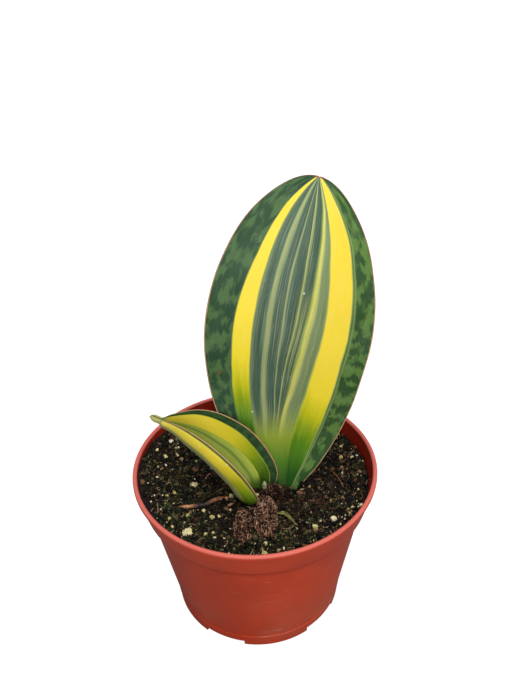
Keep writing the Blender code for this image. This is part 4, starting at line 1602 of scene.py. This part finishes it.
@dataclass
class DryStrip:
    """A shrivelled strip of dead leaf lying on the mix, cupped along its length and pointed."""

    name: str
    node: str
    start: tuple[float, float]
    end: tuple[float, float]
    width: float
    cup: float
    arch: float
    tint: float
    lift: float = 0.0016
    thickness: float = 0.00045

    def build(self, mix: GrowingMix, finish: bpy.types.Material) -> None:
        """Build the strip.

        Args:
            mix: The growing mix it lies on.
            finish: Its material.
        """
        u, v = np.linspace(0, 1, 90), np.linspace(-1, 1, 15)
        start, end = np.array(self.start), np.array(self.end)
        way = (end - start) / np.linalg.norm(end - start)
        beside = np.array([-way[1], way[0]])
        sway = 0.06 * np.linalg.norm(end - start) * np.sin(u * 5.1)
        flat = start + (end - start) * u[:, None] + beside * sway[:, None]
        base = mix.bed(*flat.mean(0)) + self.lift
        ridge = np.column_stack([flat, base + self.arch * np.sin(u * math.pi) + 0.0004])
        twist = 0.5 * np.sin(u * 3.2 + 0.4)
        across = np.column_stack([beside[0] * np.cos(twist), beside[1] * np.cos(twist), np.sin(twist)])
        taper = np.clip(np.minimum(u * 7, (1 - u) * 2.4), 0.08, 1) ** 0.7 * self.width
        rise = self.cup * self.width * (v ** 2)[None, :] * taper[:, None] / self.width
        front = ridge[:, None] + across[:, None] * (taper[:, None] * v[None])[..., None]
        front[..., 2] += rise
        ripple = layered_noise(front / 0.0016, 21, 3) * 0.00025
        front[..., 2] += ripple
        back = front - (0, 0, self.thickness)
        rings = np.concatenate([front, back[:, ::-1]], 1)
        points, faces = closed_loft(rings)
        tint = self.tint + 0.22 * layered_noise(points / 0.0013, 23, 3)
        mesh = facing_out(build_mesh(self.name, points, faces, {"tint": tint}))
        add_piece(self.name, mesh, finish, (self.node,))


def build_bark(rng: np.random.Generator) -> None:
    """Build the bark chips: flat lumps with a torn, layered surface.

    Args:
        rng: The random numbers.
    """
    bark = Earthy("bark", [(0.0, "2e1b12"), (0.35, "57382a"), (0.6, "7f5741"), (0.85, "a68063"),
                           (1.0, "c3a083")], relief=0.0005).build()
    for index, heading in enumerate((55.0, 20.0, 15.0), 1):
        node = f"bark_chip_{index}"
        low, high = (np.array(corner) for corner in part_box(node))
        ball, triangles = rough_ball(5)
        turn = math.radians(heading)
        c, s = math.cos(turn), math.sin(turn)
        box = np.sign(ball) * np.abs(ball) ** 0.6
        torn = layered_noise(box * (1.2, 4.0, 3.0) + index * 5, 70 + index, 4)
        box = box * (1 + 0.16 * torn[:, None])
        box[:, 2] += 0.5 * box[:, 0] ** 2 - 0.2
        box = box @ np.array([(c, s, 0), (-s, c, 0), (0, 0, 1)])
        box = box / np.abs(box).max(0)
        points = (low + high) / 2 + box * (high - low) / 2
        tint = 0.5 + 0.28 * torn + rng.uniform(-0.1, 0.1)
        mesh = facing_out(build_mesh(node, points, [triangles], {"tint": tint}))
        add_piece(f"{node}_torn", mesh, bark, (node,))


def build_clumps() -> None:
    """Build the five knots of peat."""
    rng = np.random.default_rng(5)
    fibre = Earthy("matted_fibre", [(0.0, "070403"), (0.2, "20130d"), (0.45, "6a4736"), (0.75, "b0876a"),
                                    (1.0, "e8c8ac")], grain=1100.0, gloss=0.88).build()
    clumps = (
        FibreClump("peat_clump_front", 1700, (0.04, 0.90)),
        FibreClump("peat_clump_left", 1100, (0.0, 0.78)),
        # painted shade: the rear clump's palest fibres are kept darker than the others', between the leaves'
        # bases
        FibreClump("peat_clump_rear", 650, (0.0, 0.6)),
        FibreClump("peat_clump_back_left", 650, (0.1, 0.75)),
        FibreClump("peat_mound_right", 900, (0.0, 0.40), hair=0.0020, coarse=0.00036, core_tint=0.10,
                   swell=1.25),
    )
    for clump in clumps:
        clump.build(rng, fibre)


def build_bud() -> None:
    """Build the dried pale-green bud that leans on the front clump."""
    middle, half = np.array([0.0058, -0.0190, 0.1052]), np.array([0.0015, 0.0013, 0.0033])
    ball, triangles = rough_ball(4)
    ridges = layered_noise(ball * (3.0, 3.0, 0.8) + 3, 91, 3)
    taper = 1 - 0.35 * ball[:, 2:] ** 2 * (ball[:, 2:] > 0)
    narrowed = np.concatenate([taper, taper, np.ones_like(taper)], 1)
    points = middle + ball * half * narrowed * (1 + 0.22 * ridges[:, None])
    tint = 0.5 + 0.35 * layered_noise(points / 0.0008, 92, 3)
    mesh = facing_out(build_mesh("dried_bud", points, [triangles], {"tint": tint}))
    husk = Earthy("bud_husk", [(0.0, "3c3f24"), (0.4, "6f7650"), (0.7, "99a07c"), (1.0, "c3c6a8")],
                  grain=1200.0, gloss=0.8)
    add_piece("dried_bud", mesh, husk.build())


def build_twig(mix: GrowingMix) -> None:
    """Build the thin stick near the wall at the right.

    Args:
        mix: The growing mix it lies on.
    """
    u = np.linspace(0, 1, 40)
    start, end = np.array([0.0500, -0.0010]), np.array([0.0555, -0.0150])
    flat = start + (end - start) * u[:, None] + np.column_stack([0.0006 * np.sin(u * 4), 0 * u])
    path = np.column_stack([flat, mix.bed(flat[:, 0], flat[:, 1]) + 0.0016])
    radius = 0.00036 * (1.15 - 0.4 * u + 0.15 * np.sin(u * 31))
    points, faces, _ = threads(path[None], radius[None], 10)
    tint = 0.45 + 0.25 * layered_noise(points / 0.001, 33, 2)
    mesh = facing_out(build_mesh("twig", points, faces, {"tint": tint}))
    wood = Earthy("twig_wood", [(0.0, "3a2517"), (0.5, "6f4a2e"), (1.0, "a47a52")],
                  grain=1500.0, gloss=0.8)
    add_piece("twig", mesh, wood.build())


# ------------------------------------------------------------------ the plant


GUIDE_KNOTS = [-0.085, 0.0, 0.1, 0.2, 0.3, 0.4, 0.5, 0.6, 0.7, 0.8, 0.9, 0.95, 0.98, 1.0]

# where each strand lies across the large leaf at the guide knots: the edges of the two broad
# stripes and the three pale threads between them
LARGE_GUIDES = {
    -0.656: [-0.50, -0.55, -0.66, -0.75, -0.736, -0.71, -0.68, -0.656, -0.63, -0.58, -0.53, -0.49, -0.40,
             -0.30],
    -0.430: [-0.38, -0.42, -0.49, -0.53, -0.49, -0.47, -0.45, -0.43, -0.42, -0.41, -0.40, -0.36, -0.30,
             -0.20],
    -0.070: [-0.32, -0.30, -0.25, -0.20, -0.14, -0.12, -0.095, -0.07, -0.065, -0.06, -0.035, -0.02, -0.01,
             0.00],
    0.080: [-0.24, -0.22, -0.19, -0.16, -0.08, -0.03, 0.02, 0.08, 0.104, 0.108, 0.10, 0.08, 0.05, 0.03],
    0.220: [-0.18, -0.16, -0.13, -0.10, 0.00, 0.10, 0.17, 0.22, 0.26, 0.28, 0.295, 0.28, 0.20, 0.12],
    0.430: [0.02, 0.05, 0.10, 0.18, 0.26, 0.34, 0.39, 0.43, 0.44, 0.43, 0.40, 0.34, 0.26, 0.18],
    0.715: [0.42, 0.45, 0.55, 0.60, 0.65, 0.68, 0.70, 0.715, 0.715, 0.715, 0.68, 0.60, 0.50, 0.35],
}

SMALL_GUIDES = {
    -0.920: [-0.955] * 14,
    -0.680: [-0.64, -0.66, -0.68, -0.70, -0.72, -0.73, -0.74, -0.74, -0.74, -0.74, -0.74, -0.72, -0.66,
             -0.60],
    0.140: [0.14] * 14,
    0.450: [0.50, 0.52, 0.53, 0.54, 0.54, 0.52, 0.48, 0.44, 0.40, 0.38, 0.36, 0.36, 0.36, 0.36],
    0.800: [0.78, 0.78, 0.79, 0.80, 0.80, 0.80, 0.80, 0.80, 0.80, 0.80, 0.80, 0.80, 0.78, 0.70],
}


def strand_stops(*pairs: tuple[float, str]) -> list[tuple[float, str]]:
    """Ramp stops from strand numbers, which run from -1 to 1.

    Args:
        pairs: Strand numbers with hex colours.

    Returns:
        Positions from zero to one with hex colours.
    """
    return [((strand + 1) / 2, code) for strand, code in pairs]


LARGE_PATTERN = LeafPattern(
    "large_leaf_tissue",
    strand_stops((-1.0, "36563f"), (-0.430, "5c7a50"), (-0.405, "66785c"), (-0.375, "3a5242"),
                 (-0.30, "34503f"), (-0.275, "55705a"), (-0.255, "99a066"), (-0.215, "8c9866"),
                 (-0.185, "40594a"), (-0.10, "334d40"), (-0.082, "48624f"), (-0.066, "a0a668"),
                 (-0.048, "405a4a"), (0.060, "324c3f"), (0.078, "a2aa62"), (0.098, "425c4a"),
                 (0.180, "304a3b"), (0.205, "8c9c50"), (0.225, "cdc95e"), (0.260, "b5b665"),
                 (0.290, "74865c"), (0.400, "6a7c50"), (0.430, "a9b35a"), (0.715, "c9c458"),
                 (0.728, "4b7340"), (0.745, "41673f"), (0.755, "8f9c52"), (0.770, "3d6238"),
                 (1.0, "36563a")),
    strand_stops((-0.66, "3f6f4c"), (-0.42, "9aa878"), (-0.30, "8a9a80"), (-0.20, "a8ac80"),
                 (0.00, "8a9c80"), (0.08, "c0c47c"), (0.20, "bcc070"), (0.30, "a4ac7c"),
                 (0.42, "a0a868"), (0.75, "7f9a4e"), (1.0, "4c7a4a")),
    stripes=((-0.656, -0.430), (0.430, 0.715)),
    # the darkest greens at the start of ripe_stops and foot_stops are partly painted shade at the leaf's
    # foot
    ripe_stops=[(0.0, "143216"), (0.12, "245018"), (0.24, "4e7c12"), (0.31, "84980a"), (0.37, "bcb80e"),
                (0.46, "e6d02c"), (0.60, "ecd23c"), (1.0, "e0c038")],
    foot_stops=[(0.0, "1e4418"), (0.10, "48701c"), (0.20, "85952c"), (0.34, "96a244"), (1.0, "96a244")],
    foot_high=0.34, mottled=((-1.1, -0.665), (0.765, 1.1)), slant=0.12)

SMALL_PATTERN = LeafPattern(
    "small_leaf_tissue",
    strand_stops((-1.0, "2a3a18"), (-0.95, "3c4c20"), (-0.92, "8a9a3c"), (-0.66, "a9a852"),
                 (-0.55, "8f9868"), (-0.30, "8c9a58"), (0.10, "a0b04e"), (0.18, "a8b850"),
                 (0.24, "b2be56"), (0.29, "66843a"), (0.34, "a6b64c"), (0.44, "b2be44"),
                 (0.80, "a8b638"), (0.83, "305a28"), (0.88, "24431f"), (1.0, "203c20")),
    strand_stops((-0.95, "3f6f4c"), (-0.88, "c2c25a"), (-0.60, "a8ac80"), (0.20, "b4bc74"),
                 (0.40, "b4bc6c"), (0.80, "b8c05c"), (0.84, "4c7a50"), (1.0, "3c6a4c")),
    stripes=((-0.92, -0.66), (0.45, 0.80)),
    ripe_stops=[(0.0, "1f3a12"), (0.16, "41620f"), (0.28, "6a8a10"), (0.38, "9ea614"), (0.48, "d2c22c"),
                (0.60, "e2cc38"), (1.0, "dcc944")],
    foot_stops=[(0.0, "2c4a18"), (0.14, "4a6c1e"), (0.28, "7c9038"), (1.0, "8a9a44")],
    foot_high=0.22, mottled=((0.815, 1.1),), dark=("203c20", "203c20"), light=("33542c", "33542c"),
    slant=-0.07, margin_low="b08562", margin_high="a88460", tip="9a9a5e", tip_from=0.92, tip_fade=0.03,
    bloom=0.08)


class Foliage(Enum):
    """The two leaves, each with the blade that grows it."""

    LARGE = Leaf(
        "leaf_large_blade", "leaf_large",
        midrib=[(0.019087, -0.008995, 0.0930), (0.01876, 0.01707, 0.1530), (0.012692, -0.02027, 0.20643),
                (0.03969, 0.03381, 0.28047)],
        side=(1, 0, 0),
        half_width=0.0474,
        knots=[-0.10, 0, 0.08, 0.20, 0.35, 0.50, 0.65, 0.80, 0.92, 0.975, 1],
        widths=[0.10, 0.171, 0.412, 0.660, 0.854, 0.959, 1, 0.889, 0.604, 0.327, 0],
        roll=[0.053, -0.042, -0.074],
        slope=[0.079],
        near=[0.299, 0.005, 1, 0],
        far=[0.299, 0.005],
        pattern=LARGE_PATTERN,
        guide_knots=GUIDE_KNOTS,
        guides=LARGE_GUIDES,
        blunt=True)
    SMALL = Leaf(
        "leaf_small_blade", "leaf_small",
        midrib=[(-0.0062, -0.0125, 0.0900), (-0.01118, -0.00929, 0.10696), (-0.03003, -0.00530, 0.13362),
                (-0.06357, 0.00753, 0.14058)],
        side=(0, 1, 0),
        half_width=0.0327,
        knots=[-0.10, 0, 0.15, 0.35, 0.55, 0.75, 0.88, 0.935, 1],
        widths=[0.28, 0.480, 0.802, 0.961, 0.999, 0.737, 0.264, 0.05, 0],
        roll=[0.934, 0.193, -0.382],
        slope=[0.705, 0.216],
        near=[1.657, -0.267, 1.049, 0.036],
        far=[0.148, -0.349],
        pattern=SMALL_PATTERN,
        guide_knots=GUIDE_KNOTS,
        guides=SMALL_GUIDES,
        tip_width=0.0016,
        beak=0.0016)


# ------------------------------------------------------------------ the studio


@dataclass(frozen=True)
class Studio:
    """A white floor, soft light mostly from above, and the camera in front of the plant."""

    position: tuple[float, float, float] = (0.006684, -0.329684, 0.401889)
    right: tuple[float, float, float] = (0.99967536, -0.01369363, -0.02148642)
    up: tuple[float, float, float] = (0.02547905, 0.53727232, 0.84302389)
    lens: float = 35.33
    floor_size: float = 6.0
    floor_glow: float = 0.94
    surround: float = 0.45

    def build(self) -> None:
        """Build the floor, the lights and the camera."""
        self.build_floor()
        self.build_world()
        self.add_light("overhead_softbox", (0.10, -0.20, 1.6), (0, 0, 0.1), size=1.3, power=26.0)
        self.add_light("front_fill", (0.5, -1.5, 0.45), (0, 0, 0.08), size=1.1, power=16.0)
        self.build_camera()

    def build_floor(self) -> None:
        """Build the floor, which isn't part of the object; it glows a little, so it stays white."""
        half = self.floor_size / 2
        corners = np.array([(-half, -half, 0), (half, -half, 0), (half, half, 0), (-half, half, 0)])
        mesh = build_mesh("floor", corners, [np.array([[0, 1, 2, 3]])])
        floor = bpy.data.objects.new("floor", mesh)
        bpy.context.scene.collection.objects.link(floor)
        n = Nodes("floor_white")
        mesh.materials.append(n.finish("7c7c7c", 0.9, specular=0.0))
        seen = n.add("ShaderNodeLightPath").outputs["Is Camera Ray"]
        n.tree.links.new(n.math("MULTIPLY", seen, self.floor_glow), n.shader.inputs["Emission Strength"])
        n.shader.inputs["Emission Color"].default_value = srgb("ffffff")

    def build_world(self) -> None:
        """Set an even white surround."""
        world = bpy.data.worlds.new("surround")
        world.use_nodes = True
        background = world.node_tree.nodes["Background"]
        background.inputs["Color"].default_value = srgb("ffffff")
        tree = world.node_tree
        path = tree.nodes.new("ShaderNodeLightPath")
        strength = tree.nodes.new("ShaderNodeMapRange")
        strength.inputs["To Min"].default_value = self.surround
        strength.inputs["To Max"].default_value = 1.0
        tree.links.new(path.outputs["Is Camera Ray"], strength.inputs["Value"])
        tree.links.new(strength.outputs[0], background.inputs["Strength"])
        bpy.context.scene.world = world

    def add_light(self, name: str, place: tuple[float, float, float], target: tuple[float, float, float],
                  size: float, power: float) -> None:
        """Add a square area light.

        Args:
            name: Its name.
            place: Where it stands.
            target: What it points at.
            size: Its side.
            power: Its power in watts.
        """
        data = bpy.data.lights.new(name, "AREA")
        data.size, data.energy = size, power
        light = bpy.data.objects.new(name, data)
        light.location = place
        light.rotation_euler = (Vector(target) - Vector(place)).to_track_quat("-Z", "Y").to_euler()
        bpy.context.scene.collection.objects.link(light)

    def build_camera(self) -> None:
        """Add the camera, above and in front of the plant."""
        data = bpy.data.cameras.new("camera")
        data.lens, data.sensor_width = self.lens, 36.0
        data.clip_start = 0.02
        camera = bpy.data.objects.new("camera", data)
        right, up = Vector(self.right), Vector(self.up)
        turn = Matrix((right, up, right.cross(up))).transposed().to_4x4()
        camera.matrix_world = Matrix.Translation(self.position) @ turn
        bpy.context.scene.collection.objects.link(camera)
        bpy.context.scene.camera = camera


def dress_hidden_roots(nodes: dict) -> None:
    """Give the rhizome and the buried roots, which stay as they are, their skin.

    Args:
        nodes: The frame's nodes by name.
    """
    skin = Earthy("buried_root_skin", [(0.0, "8a5a30"), (0.5, "c08a52"), (1.0, "e3bd86")],
                  grain=500.0, gloss=0.7).build()
    for name in ("rhizome", "root_1", "root_2", "root_3", "root_4"):
        node = nodes[name]
        node.data.materials.clear()
        node.data.materials.append(skin)


def main() -> None:
    """Build the plant around its frame."""
    logging.basicConfig(level=logging.INFO, format="%(message)s")
    bpy.context.scene.view_settings.view_transform = "Standard"
    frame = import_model()
    mix = GrowingMix()
    Pot().build()
    for leaf in Foliage:
        leaf.value.build()
    mix.build()
    Perlite().build(np.random.default_rng(9), mix)
    build_clumps()
    build_surface_root(mix)
    dry = Earthy("dead_leaf", [(0.0, "1f2418"), (0.25, "3c4224"), (0.5, "6b6638"), (0.75, "a0935a"),
                               (1.0, "d0c48e")], gloss=0.75).build()
    DryStrip("leaf_scrap_dry", "leaf_scrap_left", (-0.0572, -0.0285), (-0.0447, -0.0421),
             width=0.0017, cup=0.7, arch=0.0010, tint=0.22).build(mix, dry)
    DryStrip("straw_scrap_dry", "straw_scrap_right", (0.0130, -0.0360), (0.0252, -0.0452),
             width=0.0010, cup=0.9, arch=0.0014, tint=0.46).build(mix, dry)
    build_bark(np.random.default_rng(3))
    build_twig(mix)
    build_bud()
    dress_hidden_roots(frame["nodes"])
    Studio().build()


if __name__ == "__main__":
    main()
